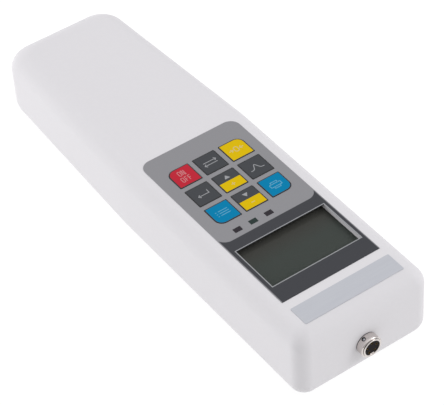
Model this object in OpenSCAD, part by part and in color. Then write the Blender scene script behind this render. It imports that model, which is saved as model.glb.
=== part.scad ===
// Handheld digital force gauge for a remote load cell.
// Origin: middle of the flat back. X runs across, +Y to the handle end, +Z out of the keypad side.

/* [Casing] */
// Length of the casing from the socket end to the handle end
body_length = 230; // [224:1:250]
// Width of the casing over the display half
body_width = 66; // [64:1:76]
// Height of the casing over the display half
body_height = 36; // [35:0.5:42]
// Width at the handle end
handle_width = 58.6; // [56:0.2:64]
// Drop of the face from the display half to the handle end
handle_drop = 2.4; // [1:0.2:4]
// Distance from the socket end to the start of the handle's taper
head_length = 126.4; // [124:0.4:136]
// Rounding of the edge round the keypad side
edge_top = 8; // [5:0.5:8]
// Rounding of the edge round the back
edge_bottom = 8.4; // [6:0.2:8.6]
// Upright corner radius at the socket end
corner_front = 6.4; // [5.4:0.2:9]
// Upright corner radius at the handle end
corner_rear = 11.6; // [9:0.2:14]
// Corner radius lost for each millimetre that an edge rolls inwards
corner_draw = 0.5; // [0.3:0.05:0.55]
// Thickness of the side walls and the back
wall = 2.5; // [2:0.1:3]
// Thickness of the wall under the keypad
top_wall = 3; // [2.8:0.1:3.4]
// Height of the joint line between the front housing and the back cover
parting = 9; // [8.8:0.2:10]
// Height of the cover's locating tongue
tongue_height = 2; // [1.2:0.2:2.6]
// Thickness of the cover's locating tongue
tongue_wall = 1.2; // [0.8:0.1:1.6]

/* [Case screws] */
// Radius of a case screw's shank
case_screw_r = 1.5; // [1.3:0.1:1.7]
// Length of a case screw under its head
case_screw_length = 14; // [12:0.5:17]
// Distance of the front screws from the socket end
case_screw_front = 15; // [13.5:0.5:17]
// Distance of the rear screws from the handle end
case_screw_rear = 18; // [15:0.5:19]
// Distance of the screws from the edge of the flat back
case_screw_margin = 4.6; // [4:0.2:5.4]
// Outer radius of a screw boss
case_boss_r = 4; // [3.6:0.2:4.6]

/* [Stand mount] */
// Spacing of the threaded inserts across the back
mount_spacing_x = 36; // [30:1:40]
// Spacing of the threaded inserts along the back
mount_spacing_y = 60; // [50:1:64]
// Distance from the socket end to the nearer pair of inserts
mount_start = 45; // [40:1:47]
// Radius of the insert's thread hole
mount_thread_r = 1.65; // [1.2:0.05:2.1]
// Outer radius of an insert
insert_r = 2.8; // [2.5:0.1:3.2]
// Length of an insert
insert_length = 5.8; // [4:0.2:6.4]

/* [Front panel] */
// Width of the printed overlay
overlay_width = 49.2; // [48:0.1:50]
// Length of the printed overlay
overlay_length = 101.4; // [100:0.2:103]
// Distance from the socket end to the overlay
overlay_start = 22; // [19:0.2:22.4]
// Thickness of the overlay
overlay_thick = 0.45; // [0.35:0.05:0.6]
// Depth of the shallow seat that the overlay is stuck into
overlay_seat = 0.3; // [0.2:0.05:0.35]
// Radius of the overlay's two corners at the handle
overlay_corner = 5; // [3:0.5:6]
// Width of the plain label at the socket end
label_width = 49; // [44:0.5:50]
// Length of the plain label
label_length = 10.2; // [8:0.1:10.5]
// Distance from the socket end to the label
label_start = 7.1; // [7:0.1:9]
// Offset of the label to the right of the middle
label_shift = 0.45; // [0:0.05:0.6]
// Thickness of the label
label_thick = 0.2; // [0.1:0.05:0.3]

/* [Keypad] */
// Distance from the overlay's near edge to the middle row of keys
key_start = 70.2; // [69:0.1:71]
// Offset of the keys to the right of the overlay's middle
key_shift = 0.5; // [0:0.05:0.6]
// Key spacing across the keypad
key_pitch_x = 13.5; // [13:0.1:14]
// Key spacing along the keypad
key_pitch_y = 14; // [13.6:0.1:14.4]
// Width of a key
key_width = 11.1; // [10.4:0.1:11.4]
// Length of a key
key_length = 11.4; // [10.8:0.1:11.7]
// Radius of the outer corner of each corner key
key_corner = 3.6; // [2:0.2:4.4]
// Radius of the other key corners
key_small_corner = 0.5; // [0.3:0.1:1]
// Gap between a key and the overlay
key_gap = 0.18; // [0.14:0.02:0.3]
// Width of the rim that holds a key under the overlay
key_rim = 0.5; // [0.4:0.05:0.6]
// Thickness of that rim
key_rim_thick = 0.35; // [0.25:0.05:0.4]
// Height of a key above the overlay
key_proud = 0.2; // [0.1:0.05:0.4]
// Travel of a key
key_travel = 0.3; // [0.2:0.05:0.35]
// Room left under a key that is pressed home
press_room = 0.4; // [0.3:0.05:0.5]
// Thickness of the printed circuit film
circuit_thick = 0.3; // [0.2:0.05:0.35]
// Border of the film round the key openings
keypad_border = 1.6; // [1.2:0.1:2]
// Width of the film's tail
tail_width = 12; // [8:0.5:14]
// Base radius of a snap dome
dome_r = 4.2; // [3.6:0.1:4.6]
// Sheet thickness of a snap dome
dome_sheet = 0.08; // [0.06:0.01:0.12]

/* [Display] */
// Distance from the overlay's near edge to the middle of the display
display_start = 21.95; // [21.4:0.05:22.4]
// Offset of the display to the right of the overlay's middle
display_shift = 0.2; // [0:0.05:0.5]
// Width of the display opening
display_width = 44.6; // [42:0.1:45]
// Length of the display opening in the overlay
display_length = 24.9; // [23:0.1:26]
// Overhang of the overlay over the two ends of the casing's opening
display_overhang = 1.95; // [1.4:0.05:2.1]
// Thickness of the casing's lip over the window
display_lip = 2.05; // [1.6:0.05:2.2]
// Width of the clear window
window_width = 47.4; // [46.8:0.1:48]
// Length of the clear window
window_length = 32.2; // [31.6:0.1:33]
// Thickness of the clear window
window_thick = 0.6; // [0.5:0.05:1]
// Thickness of each of the two glass plates of the display
glass_thick = 1.1; // [0.9:0.1:1.2]
// Thickness of the backlight
backlight_thick = 2.6; // [2:0.1:3]
// Width of a contact strip
strip_width = 2; // [1.6:0.1:2.2]

/* [Indicators] */
// Distance from the overlay's near edge to the row of indicators
indicator_start = 44.3; // [43.5:0.1:45.5]
// Place of the first indicator left of the middle
indicator_left = 14.05; // [12:0.05:15]
// Indicator spacing
indicator_pitch = 7.9; // [7:0.1:9]
// Width of an indicator opening
indicator_width = 3.8; // [3:0.1:4.2]
// Length of an indicator opening
indicator_length = 2.6; // [2:0.1:3]

/* [Main board] */
// Width of the board
board_width = 48; // [46:0.5:50]
// Length of the board
board_length = 100; // [98:0.5:102]
// Thickness of the board
board_thick = 1.6; // [1.2:0.1:2]
// Room between the display glass and the board
board_room = 3.6; // [3.4:0.1:4.4]
// Radius of a board screw's shank
board_screw_r = 1; // [0.8:0.1:1.2]
// Length of a board screw under its head
board_screw_length = 5.6; // [4.6:0.2:5.8]
// Height of a lead header
header_height = 5; // [4:0.2:5.4]
// Radius of the buzzer
buzzer_r = 6; // [4.5:0.5:6]
// Height of the buzzer
buzzer_height = 6; // [4:0.5:8]

/* [Battery] */
// Radius of a cell
cell_r = 5.25; // [5:0.05:5.3]
// Length of a cell
cell_length = 44.5; // [43:0.5:46]
// Thickness of the shrink wrap
wrap_thick = 0.4; // [0.3:0.05:0.5]
// Room between the pack and the handle end
pack_rear_room = 27; // [25:0.5:29]
// Sheet thickness of the clamp over the pack
clamp_thick = 1; // [0.8:0.1:1.2]
// Width of the clamp
clamp_width = 14; // [10:1:20]

/* [Sensor socket] */
// Height of the socket above the back
socket_height = 15.8; // [15:0.1:17]
// Outer radius of the socket's barrel
socket_r = 5; // [4.8:0.05:5.4]
// Length of the barrel in front of the casing
socket_length = 4.2; // [3.6:0.1:6]
// Chamfer of the barrel where it meets the casing
socket_root = 0.3; // [0.2:0.05:0.4]
// Length of the ring at the barrel's front
socket_ring = 0.56; // [0.4:0.02:0.8]
// Width of the groove behind that ring
socket_groove_width = 0.25; // [0.15:0.05:0.4]
// Depth of that groove
socket_groove_depth = 0.35; // [0.2:0.05:0.5]
// Radius of the socket's bore
socket_bore_r = 3.8; // [3.6:0.05:3.9]
// Radius of the threaded neck through the wall
socket_neck_r = 4.4; // [4.3:0.05:4.6]
// Length of the threaded neck behind the casing's face
socket_neck_length = 9; // [8:0.5:10]
// Thickness of the socket's nut
nut_thick = 2.4; // [2:0.1:3]
// Number of contacts
pin_count = 5; // [3:1:7]
// Radius of the circle of contacts
pin_circle_r = 2.4; // [2.2:0.1:2.5]
// Radius of a contact
pin_r = 0.5; // [0.4:0.05:0.6]
// Turn of the locking screw up from the right
lock_angle = 118; // [100:1:130]
// Distance of the locking screw from the casing
lock_out = 1.45; // [1.3:0.05:2.2]
// Radius of the locking screw
lock_r = 0.75; // [0.6:0.05:0.85]

/* [Rear sockets] */
// Distance of each rear socket from the middle
rear_socket_x = 9; // [8:0.5:10]
// Radius of a rear socket's threaded barrel
rear_barrel_r = 4.2; // [4:0.1:4.5]
// Radius of a rear socket's flange
rear_flange_r = 5.6; // [5.2:0.1:6]
// Thickness of that flange
rear_flange_thick = 1.2; // [0.8:0.1:1.6]
// Depth of the barrels behind the casing's face
rear_depth = 11; // [9:0.5:12]
// Bore radius of the charging jack
jack_bore_r = 2.85; // [2.6:0.05:3.2]
// Radius of the charging jack's pin
jack_pin_r = 1.05; // [0.8:0.05:1.25]
// Bore radius of the data socket
data_bore_r = 3.3; // [3:0.05:3.5]

/* [Hidden] */
$fn = 48;
// Steps of each rolled edge and sides of its corner discs
edge_steps = 12;
corner_sides = 48;
least_ring = 0.5;
sliver = 0.02;
cut = 1;
// Gaps for loose seats, sliding seats and screw threads
loose = 0.1;
snug = 0.03;
thread = 0.05;

front_y = -body_length / 2;
rear_y = body_length / 2;
taper_y = front_y + head_length;
roof = body_height - top_wall;
taper_ring_r = 1;

overlay_near = front_y + overlay_start;
overlay_mid = overlay_near + overlay_length / 2;
overlay_bottom = body_height - overlay_seat;
overlay_top = overlay_bottom + overlay_thick;

key_mid = overlay_near + key_start;
key_open = key_rim + key_gap;
keypad_depth = overlay_seat + thread + key_rim_thick + key_travel + press_room + circuit_thick;
keypad_width = 2 * key_pitch_x + key_width + 2 * (key_open + keypad_border);
keypad_length = 2 * key_pitch_y + key_length + 2 * (key_open + keypad_border);
pocket_floor = body_height - keypad_depth;
circuit_top = pocket_floor + circuit_thick;
rim_top = overlay_bottom - thread;
rim_bottom = rim_top - key_rim_thick;
key_top = overlay_top + key_proud;
dome_height = rim_bottom - circuit_top - snug;
tail_thick = 0.3;
tail_room = 0.3;
tail_inset = 1;
tail_y = key_mid + keypad_length / 2 - tail_inset;

display_at = [display_shift, overlay_near + display_start];
window_top = body_height - display_lip;
glass_top = window_top - window_thick;
glass_bottom = glass_top - 2 * glass_thick;
window_seat = 0.2;
glass_margin = 0.3;
glass_width = window_width - 2 * glass_margin;
glass_length = window_length - 2 * glass_margin;
strip_end = 2.5;
strip_gap = 0.2;
strip_offset = glass_length / 2 - strip_width / 2 - glass_margin;
strip_length = glass_width - 2 * strip_end;
lower_glass_length = 2 * (strip_offset - strip_gap) - strip_width;
light_margin = [2, 1];
light_width = glass_width - 2 * light_margin.x;
light_length = lower_glass_length - 2 * light_margin.y;

board_top = glass_bottom - board_room;
board_bottom = board_top - board_thick;
board_overhang = 2;
board_near = overlay_near - board_overhang;
board_far = board_near + board_length;
board_post_side = 3.5;
board_post_ends = [4, 5];
board_post_x = board_width / 2 - board_post_side;
board_post_near = board_near + board_post_ends[0];
board_post_far = board_far - board_post_ends[1];
board_post_r = 2.5;
screw_tip_room = 0.3;
header_bottom = board_bottom - header_height;
header_size = [6, 5];

indicator_y = overlay_near + indicator_start;
led_size = [3.2, 1.6];
led_height = 1.1;
led_room = 0.3;
lens_bottom = board_top + led_height + led_room;
lens_rim = 0.8;

cell_gap = 0.05;
wrap_r = cell_r + loose + wrap_thick;
cell_cap = [1.9, 1];
pack_length = 2 * cell_length + cell_gap;
pack_near = rear_y - pack_rear_room - pack_length;
pack_mid = pack_near + pack_length / 2;
pack_height = wall + wrap_r;
pack_half = 2 * cell_r + cell_gap + wrap_r;
clamp_half = pack_half + loose;
clamp_top = wall + 2 * wrap_r + loose;
clamp_rise = 3;
clamp_foot = wall + clamp_rise;
clamp_screw_out = 3.2;
clamp_screw_x = clamp_half + clamp_thick + clamp_screw_out;
clamp_foot_end = 3;
clamp_screw_r = 1;
clamp_screw_length = 3.6;
boss_wall = 1.8;
insert_floor = 1.2;
mount_gap = 1;
mount_far_limit = pack_near - insert_r - boss_wall - mount_gap;
mount_far = min(front_y + mount_start + mount_spacing_y, mount_far_limit);

head_depth = 3.4;
head_room = 0.4;
case_head = [2.8, 2.4];
small_head = [1.9, 1.3];
// Shares of a screw's head that its cross recess takes: width, reach and depth
recess_shares = [0.28, 0.6, 0.6];

lead_bend = 4;
sensor_lead_r = 1.6;
battery_lead_r = 0.6;
rear_lead_r = 1.2;
barrel_chamfer = 0.25;
insert_recess = 0.3;
key_rib = [2, 0.9];
pin_back = 1;
nut_rim = 2;
nut_room = 1;
lock_hex_share = 0.55;
tongue_root = 1.5;
pin_recess = 0.6;
jack_back = 2;
data_circle_r = 1.7;
rear_nut_rim = 1.8;
rear_nut_thick = 2;
// The rear sockets' leads pass midway between the pack's clamp and the headers
rear_socket_height = (clamp_top + clamp_thick + header_bottom) / 2;

// The headers sit near the pack, but stay on the board
header_reach = 11;
header_margin = 17;
header_y = min(pack_near - header_reach, board_far - header_margin);
sensor_run = 18;
sensor_start = front_y + socket_neck_length + pin_back;
sensor_header_y = sensor_start + sensor_run;
// Places of the parts on the board as shares of the way between its headers
converter_share = 0.2;
microcontroller_share = 0.63;
buzzer_share = 0.76;
converter_size = [7.5, 10.3];
converter_height = 2.3;
microcontroller_size = [14, 14];
microcontroller_height = 1.4;
buzzer_x = 14;
buzzer_hole_r = 0.8;
connector_length = 3.6;
connector_height = 4;
connector_wall = 1.5;
connector_floor = 1.3;

// Half width and face height of the casing at a place along it
function taper_share(y) = max(0, (y - taper_y) / (rear_y - taper_y));
function half_width(y) = body_width / 2 - (body_width - handle_width) / 2 * taper_share(y);
function face_height(y) = body_height - handle_drop * taper_share(y);
function board_place(share) = sensor_header_y + (header_y - sensor_header_y) * share;
function screw_place(side, y) = [side * (half_width(y) - edge_bottom - case_screw_margin), y];

key_colours = [
  ["firebrick", "dimgray", "gold"],
  ["dimgray", "dimgray", "dimgray"],
  ["royalblue", "dimgray", "royalblue"]
];
case_screw_places = [
  for (side = [-1, 1], y = [front_y + case_screw_front, rear_y - case_screw_rear]) screw_place(side, y)
];
mount_places = [
  for (side = [-1, 1], row = [0, 1]) [side * mount_spacing_x / 2, mount_far - row * mount_spacing_y]
];
board_post_places = [
  for (side = [-1, 1], y = [board_post_near, board_post_far]) [side * board_post_x, y]
];
indicator_places = [for (i = [0:2]) [i * indicator_pitch - indicator_left, indicator_y]];
cell_places = [for (i = [-1:1], j = [0, 1]) [i * (2 * cell_r + cell_gap), j]];

// Flat rectangle with round corners, centred
module rounded_rect(w, h, r) {
  square([w - 2 * r, h], center = true);
  square([w, h - 2 * r], center = true);
  for (x = [-1, 1], y = [-1, 1])
    translate([x * (w / 2 - r), y * (h / 2 - r)])
      circle(r);
}

// Upright block on a centred rectangle
module block(size, at, bottom, top) {
  translate([at.x - size.x / 2, at.y - size.y / 2, bottom])
    cube([size.x, size.y, top - bottom]);
}

// Upright rod between two heights
module rod(at, r, bottom, top) {
  translate([at.x, at.y, bottom])
    cylinder(h = top - bottom, r = r);
}

// One upright edge of the casing: rings that draw in as the edges roll over at the top and the back
// Each ring is the base of a cone that points into the casing
module rolled_corner(x, y, inward, r, low, high, roll_low, roll_high) {
  for (side = [-1, 1], step = [0:edge_steps], at_top = [true, false]) {
    turn = 90 * step / edge_steps;
    roll = at_top ? roll_high : roll_low;
    inset = roll * (1 - cos(turn));
    drop = roll * (1 - sin(turn));
    ring_r = max(r - corner_draw * inset, least_ring);
    height = at_top ? high - drop : low + drop;
    translate([side * (x - inset - ring_r), y + inward * (inset + ring_r), height])
      rotate([at_top ? 180 : 0, 0, 0])
        cylinder(h = roll, r1 = ring_r, r2 = least_ring / 2, $fn = corner_sides);
  }
}

// The casing's solid form, drawn in all round by a thickness, with its own floor and roof
module casing_form(inset, floor_height, roof_thick) {
  near = front_y + inset;
  far = rear_y - inset;
  roll_low = edge_bottom - inset;
  roll_high = edge_top - inset;
  hull() {
    rolled_corner(body_width / 2 - inset, near, 1, corner_front - inset, floor_height,
      body_height - roof_thick, roll_low, roll_high);
    rolled_corner(body_width / 2 - inset, taper_y, 0, taper_ring_r, floor_height,
      body_height - roof_thick, roll_low, roll_high);
    rolled_corner(half_width(far) - inset, far, -1, corner_rear - inset, floor_height,
      face_height(far) - roof_thick, roll_low, roll_high);
  }
}

// Plan outline of the casing at the joint line
module plan_outline(inset) {
  hull()
    for (side = [-1, 1]) {
      translate([side * (body_width / 2 - corner_front), front_y + corner_front])
        circle(corner_front - inset, $fn = corner_sides);
      translate([side * (body_width / 2 - taper_ring_r - inset), taper_y])
        circle(taper_ring_r, $fn = corner_sides);
      translate([side * (handle_width / 2 - corner_rear), rear_y - corner_rear])
        circle(corner_rear - inset, $fn = corner_sides);
    }
}

// Everything on one side of the joint line
module half_space(above) {
  size = 2 * body_length;
  translate([-size / 2, -size / 2, above ? parting : parting - size])
    cube(size);
}

// Printed overlay: square corners at the display, round ones at the handle
module overlay_outline(grow) {
  w = overlay_width + 2 * grow;
  h = overlay_length + 2 * grow;
  r = overlay_corner + grow;
  translate([0, overlay_mid]) {
    translate([-w / 2, -h / 2])
      square([w, h - r]);
    translate([r - w / 2, -h / 2])
      square([w - 2 * r, h]);
    for (side = [-1, 1])
      translate([side * (w / 2 - r), h / 2 - r])
        circle(r);
  }
}

// Key outline: each corner key has one large round corner, away from the middle of the keypad
module key_outline(column, row, grow) {
  w = key_width + 2 * grow;
  h = key_length + 2 * grow;
  r = key_corner + grow;
  corner = [column * (w / 2 - r), row * (h / 2 - r)];
  translate([key_shift + column * key_pitch_x, key_mid + row * key_pitch_y])
    if (column == 0 || row == 0) rounded_rect(w, h, key_small_corner);
    else {
      difference() {
        rounded_rect(w, h, key_small_corner);
        translate(corner + [column, row] * (r + cut) / 2)
          square(r + cut, center = true);
      }
      translate(corner)
        circle(r);
    }
}

// All nine key openings
module key_openings(grow) {
  for (column = [-1:1], row = [-1:1])
    key_outline(column, row, grow);
}

module keypad_sheet(grow, bottom, top) {
  translate([key_shift, key_mid, bottom])
    linear_extrude(top - bottom)
      square([keypad_width + 2 * grow, keypad_length + 2 * grow], center = true);
}

// Pan-head screw with a cross recess, head downwards, seated at a height
module screw(at, seat, head, r, length) {
  recess = [2 * head[0] * recess_shares[1], head[0] * recess_shares[0]];
  recess_floor = -head[1] * (1 - recess_shares[2]);
  translate([at.x, at.y, seat]) {
    cylinder(h = length, r = r);
    difference() {
      translate([0, 0, -head[1]])
        cylinder(h = head[1], r = head[0]);
      for (turn = [0, 90])
        rotate(turn)
          block(recess, [0, 0], -head[1] - cut, recess_floor);
    }
  }
}

// Lead that runs along the casing and turns up to a header
module lead(x, y_from, y_to, run_height, top, r) {
  way = y_to > y_from ? 1 : -1;
  bend = min(lead_bend, top - run_height - sliver);
  translate([x, y_from, run_height])
    rotate([-90 * way, 0, 0])
      cylinder(h = abs(y_to - y_from) - bend, r = r);
  translate([x, y_to - way * bend, run_height + bend])
    rotate([0, 0, way > 0 ? 0 : 180])
      rotate([0, 90, 0])
        rotate_extrude(angle = 90)
          translate([bend, 0])
            circle(r);
  rod([x, y_to], r, run_height + bend, top);
}

// Frames of the sockets: their own +Z points out of the casing
module at_sensor_socket() {
  translate([0, front_y, socket_height])
    rotate([90, 0, 0])
      children();
}

module at_rear_socket(side) {
  translate([side * rear_socket_x, rear_y, rear_socket_height])
    rotate([-90, 0, 0])
      children();
}

module front_housing() {
  color("whitesmoke")
    difference() {
      union() {
        difference() {
          intersection() {
            casing_form(0, 0, 0);
            half_space(true);
          }
          casing_form(wall, wall, top_wall);
        }
        for (place = case_screw_places)
          rod(place, case_boss_r, parting, face_height(place.y) - top_wall + cut);
        for (place = board_post_places)
          rod(place, board_post_r, board_top, roof + cut);
      }
      for (place = case_screw_places)
        rod(place, case_screw_r + thread, parting - cut, head_depth + case_screw_length + cut);
      for (place = board_post_places)
        rod(place, board_screw_r + thread, board_top - cut,
          board_bottom + board_screw_length + screw_tip_room);
      translate([0, 0, overlay_bottom])
        linear_extrude(top_wall)
          overlay_outline(loose);
      keypad_sheet(loose, pocket_floor, body_height + cut);
      block([tail_width + 2 * tail_room, tail_thick + 2 * tail_room], [0, tail_y],
        roof - cut, body_height);
      block([display_width, display_length + 2 * display_overhang], display_at,
        roof - cut, body_height + cut);
      block([window_width + window_seat, window_length + window_seat], display_at,
        roof - cut, window_top);
      for (place = indicator_places)
        block([indicator_width, indicator_length], place, roof - cut, body_height + cut);
      at_sensor_socket()
        translate([0, 0, -wall - cut])
          cylinder(h = wall + 2 * cut, r = socket_neck_r + loose);
      for (side = [-1, 1])
        at_rear_socket(side)
          translate([0, 0, -wall - cut])
            cylinder(h = wall + 2 * cut, r = rear_barrel_r + loose);
    }
}

module back_cover() {
  nut_r = socket_neck_r + nut_rim + nut_room;
  color("gainsboro")
    difference() {
      union() {
        difference() {
          intersection() {
            casing_form(0, 0, 0);
            half_space(false);
          }
          casing_form(wall, wall, top_wall);
        }
        translate([0, 0, parting - tongue_root])
          linear_extrude(tongue_root)
            difference() {
              plan_outline(wall / 2);
              plan_outline(wall + loose + tongue_wall);
            }
        difference() {
          translate([0, 0, parting - tongue_root])
            linear_extrude(tongue_root + tongue_height)
              difference() {
                plan_outline(wall + loose);
                plan_outline(wall + loose + tongue_wall);
              }
          block([2 * nut_r, 2 * (wall + nut_thick + nut_room)], [0, front_y],
            parting, parting + tongue_height + cut);
        }
        for (place = case_screw_places)
          rod(place, case_boss_r, wall - cut / 2, parting);
        for (place = mount_places)
          rod(place, insert_r + boss_wall, wall - cut / 2, insert_length + insert_floor);
        for (side = [-1, 1])
          rod([side * clamp_screw_x, pack_mid], clamp_screw_r + boss_wall, wall - cut / 2, clamp_foot);
      }
      for (place = case_screw_places) {
        rod(place, case_head[0] + head_room, -cut, head_depth);
        rod(place, case_screw_r + 2 * loose, head_depth - cut, parting + cut);
      }
      for (place = mount_places)
        rod(place, insert_r + thread, -cut, loose + insert_length + loose);
      for (side = [-1, 1])
        rod([side * clamp_screw_x, pack_mid], clamp_screw_r + thread,
          clamp_foot + clamp_thick - clamp_screw_length - screw_tip_room, clamp_foot + cut);
    }
}

module case_screws() {
  color("silver")
    for (place = case_screw_places)
      screw(place, head_depth, case_head, case_screw_r, case_screw_length);
}

module mount_inserts() {
  color("goldenrod")
    for (place = mount_places)
      difference() {
        rod(place, insert_r, loose, loose + insert_length);
        rod(place, mount_thread_r, 0, insert_length + cut);
      }
}

module name_label() {
  color("lightsteelblue")
    translate([label_shift, front_y + label_start + label_length / 2, body_height])
      linear_extrude(label_thick)
        rounded_rect(label_width, label_length, key_small_corner);
}

module graphic_overlay() {
  color("gray")
    translate([0, 0, overlay_bottom])
      linear_extrude(overlay_thick)
        difference() {
          overlay_outline(0);
          key_openings(key_gap);
          translate(display_at)
            square([display_width, display_length], center = true);
          for (place = indicator_places)
            translate(place)
              square([indicator_width, indicator_length], center = true);
        }
}

module keypad_spacer() {
  color("lightgray")
    difference() {
      keypad_sheet(0, circuit_top, overlay_bottom);
      translate([0, 0, circuit_top - cut])
        linear_extrude(keypad_depth + 2 * cut)
          key_openings(key_open);
    }
}

module keypad_circuit() {
  color("darkkhaki") {
    keypad_sheet(0, pocket_floor, circuit_top);
    block([tail_width, tail_thick], [0, tail_y], board_top + connector_floor + loose,
      pocket_floor + circuit_thick / 2);
  }
}

module key(column, row) {
  color(key_colours[1 - row][column + 1]) {
    translate([0, 0, rim_bottom])
      linear_extrude(key_top - rim_bottom)
        key_outline(column, row, 0);
    translate([0, 0, rim_bottom])
      linear_extrude(key_rim_thick)
        key_outline(column, row, key_rim);
  }
}

// Snap dome: a shallow cap of a sphere pressed from thin sheet
module dome(column, row) {
  sphere_r = (dome_r * dome_r + dome_height * dome_height) / (2 * dome_height);
  color("silver")
    translate([key_shift + column * key_pitch_x, key_mid + row * key_pitch_y, circuit_top])
      intersection() {
        translate([0, 0, dome_height - sphere_r])
          difference() {
            sphere(sphere_r);
            sphere(sphere_r - dome_sheet);
          }
        cylinder(h = dome_height + cut, r = dome_r + cut);
      }
}

module display_window() {
  color("aliceblue", 0.4)
    block([window_width, window_length], display_at, glass_top, window_top);
}

module lcd_glass() {
  color("darkolivegreen") {
    block([glass_width, glass_length], display_at, glass_top - glass_thick, glass_top);
    block([glass_width, lower_glass_length], display_at, glass_bottom, glass_top - glass_thick);
  }
}

module lcd_frame() {
  color("black")
    difference() {
      block([window_width, window_length], display_at, board_top, glass_bottom);
      block([light_width, light_length], display_at,
        glass_bottom - backlight_thick, glass_bottom + cut);
      for (side = [-1, 1])
        block([strip_length + 2 * loose, strip_width + 2 * loose],
          display_at + [0, side * strip_offset], board_top - cut, glass_bottom + cut);
    }
}

module lcd_backlight() {
  color("honeydew")
    block([light_width - 2 * loose, light_length - 2 * loose], display_at,
      glass_bottom - backlight_thick, glass_bottom);
}

module contact_strips() {
  color("dimgray")
    for (side = [-1, 1])
      block([strip_length, strip_width], display_at + [0, side * strip_offset],
        board_top, glass_top - glass_thick);
}

module main_board() {
  color("darkgreen")
    difference() {
      block([board_width, board_length], [0, (board_near + board_far) / 2], board_bottom, board_top);
      for (place = board_post_places)
        rod(place, board_screw_r + loose, board_bottom - cut, board_top + cut);
    }
}

module board_screws() {
  color("silver")
    for (place = board_post_places)
      screw(place, board_bottom, small_head, board_screw_r, board_screw_length);
}

module microcontroller() {
  color("black")
    block(microcontroller_size, [0, board_place(microcontroller_share)],
      board_bottom - microcontroller_height, board_bottom);
}

module converter_chip() {
  color("black")
    block(converter_size, [0, board_place(converter_share)],
      board_bottom - converter_height, board_bottom);
}

module buzzer() {
  place = [buzzer_x, board_place(buzzer_share)];
  bottom = board_bottom - buzzer_height;
  color("black")
    difference() {
      rod(place, buzzer_r, bottom, board_bottom);
      rod(place, buzzer_hole_r, bottom - cut, bottom + cut);
    }
}

module keypad_connector() {
  top = board_top + connector_height;
  color("ivory")
    difference() {
      block([tail_width + 2 * connector_wall, connector_length], [0, tail_y], board_top, top);
      block([tail_width + 2 * loose, tail_thick + 2 * loose], [0, tail_y],
        board_top + connector_floor, top + cut);
    }
}

module lead_headers() {
  color("ivory") {
    block(header_size, [0, sensor_header_y], header_bottom, board_bottom);
    for (x = [-rear_socket_x, 0, rear_socket_x])
      block(header_size, [x, header_y], header_bottom, board_bottom);
  }
}

// Light pipe from a lamp on the board to the face, held by a rim under the roof
module indicator(index, colour) {
  size = [indicator_width - 2 * loose, indicator_length - 2 * loose];
  color(colour) {
    block(size, indicator_places[index], lens_bottom, overlay_top - thread);
    block(size + [2, 2] * lens_rim, indicator_places[index], roof - lens_rim, roof);
  }
}

module indicator_leds() {
  color("white")
    for (place = indicator_places)
      block(led_size, place, board_top, board_top + led_height);
}

module battery_cells() {
  color("seagreen")
    for (place = cell_places)
      translate([place.x, pack_near + place.y * (cell_length + cell_gap), pack_height])
        rotate([-90, 0, 0]) {
          cylinder(h = cell_length - cell_cap[1], r = cell_r);
          cylinder(h = cell_length, r = cell_cap[0]);
        }
}

// Flat-sided round of the pack: three cells side by side
module pack_outline(r) {
  square([4 * cell_r + 2 * cell_gap, 2 * r], center = true);
  for (side = [-1, 1])
    translate([side * (2 * cell_r + cell_gap), 0])
      circle(r);
}

module battery_wrap() {
  color("royalblue")
    translate([0, pack_near + pack_length, pack_height])
      rotate([90, 0, 0])
        linear_extrude(pack_length)
          difference() {
            pack_outline(wrap_r);
            pack_outline(wrap_r - wrap_thick);
          }
}

module battery_clamp() {
  outer = clamp_half + clamp_thick;
  foot = clamp_screw_x + clamp_foot_end;
  color("silver")
    difference() {
      translate([0, pack_mid + clamp_width / 2, 0])
        rotate([90, 0, 0])
          linear_extrude(clamp_width)
            difference() {
              union() {
                translate([-outer, clamp_foot])
                  square([2 * outer, clamp_top + clamp_thick - clamp_foot]);
                translate([-foot, clamp_foot])
                  square([2 * foot, clamp_thick]);
              }
              translate([-clamp_half, clamp_foot - cut])
                square([2 * clamp_half, clamp_top - clamp_foot + cut]);
            }
      for (side = [-1, 1])
        rod([side * clamp_screw_x, pack_mid], clamp_screw_r + loose,
          clamp_foot - cut, clamp_foot + clamp_thick + cut);
    }
}

module clamp_screws() {
  color("silver")
    for (side = [-1, 1])
      translate([side * clamp_screw_x, pack_mid, clamp_foot + clamp_thick])
        rotate([180, 0, 0])
          screw([0, 0], 0, small_head, clamp_screw_r, clamp_screw_length);
}

module battery_leads() {
  color("crimson")
    for (side = [-1, 1])
      lead(side * 2 * battery_lead_r, pack_near, header_y, pack_height, header_bottom, battery_lead_r);
}

// Barrel of the sensor socket, turned with a front ring and a groove behind it
module socket_shell() {
  lip = socket_length - barrel_chamfer;
  ring = socket_length - socket_ring;
  groove = ring - socket_groove_width;
  groove_r = socket_r - socket_groove_depth;
  color("silver")
    at_sensor_socket() {
      difference() {
        rotate_extrude()
          polygon([
            [socket_bore_r, -socket_neck_length], [socket_neck_r, -socket_neck_length], [socket_neck_r, 0],
            [socket_r - socket_root, 0], [socket_r, socket_root], [socket_r, groove], [groove_r, groove],
            [groove_r, ring], [socket_r, ring], [socket_r, lip], [socket_r - barrel_chamfer, socket_length],
            [socket_bore_r, socket_length]
          ]);
        rotate(lock_angle)
          translate([0, 0, lock_out])
            rotate([0, 90, 0])
              cylinder(h = socket_r + cut, r = lock_r + 2 * thread);
      }
      translate([0, -socket_bore_r + key_rib[1] / 2, 0])
        translate([-key_rib[0] / 2, -key_rib[1] / 2 - loose, 0])
          cube([key_rib[0], key_rib[1] + loose, socket_length - insert_recess]);
    }
}

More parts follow.
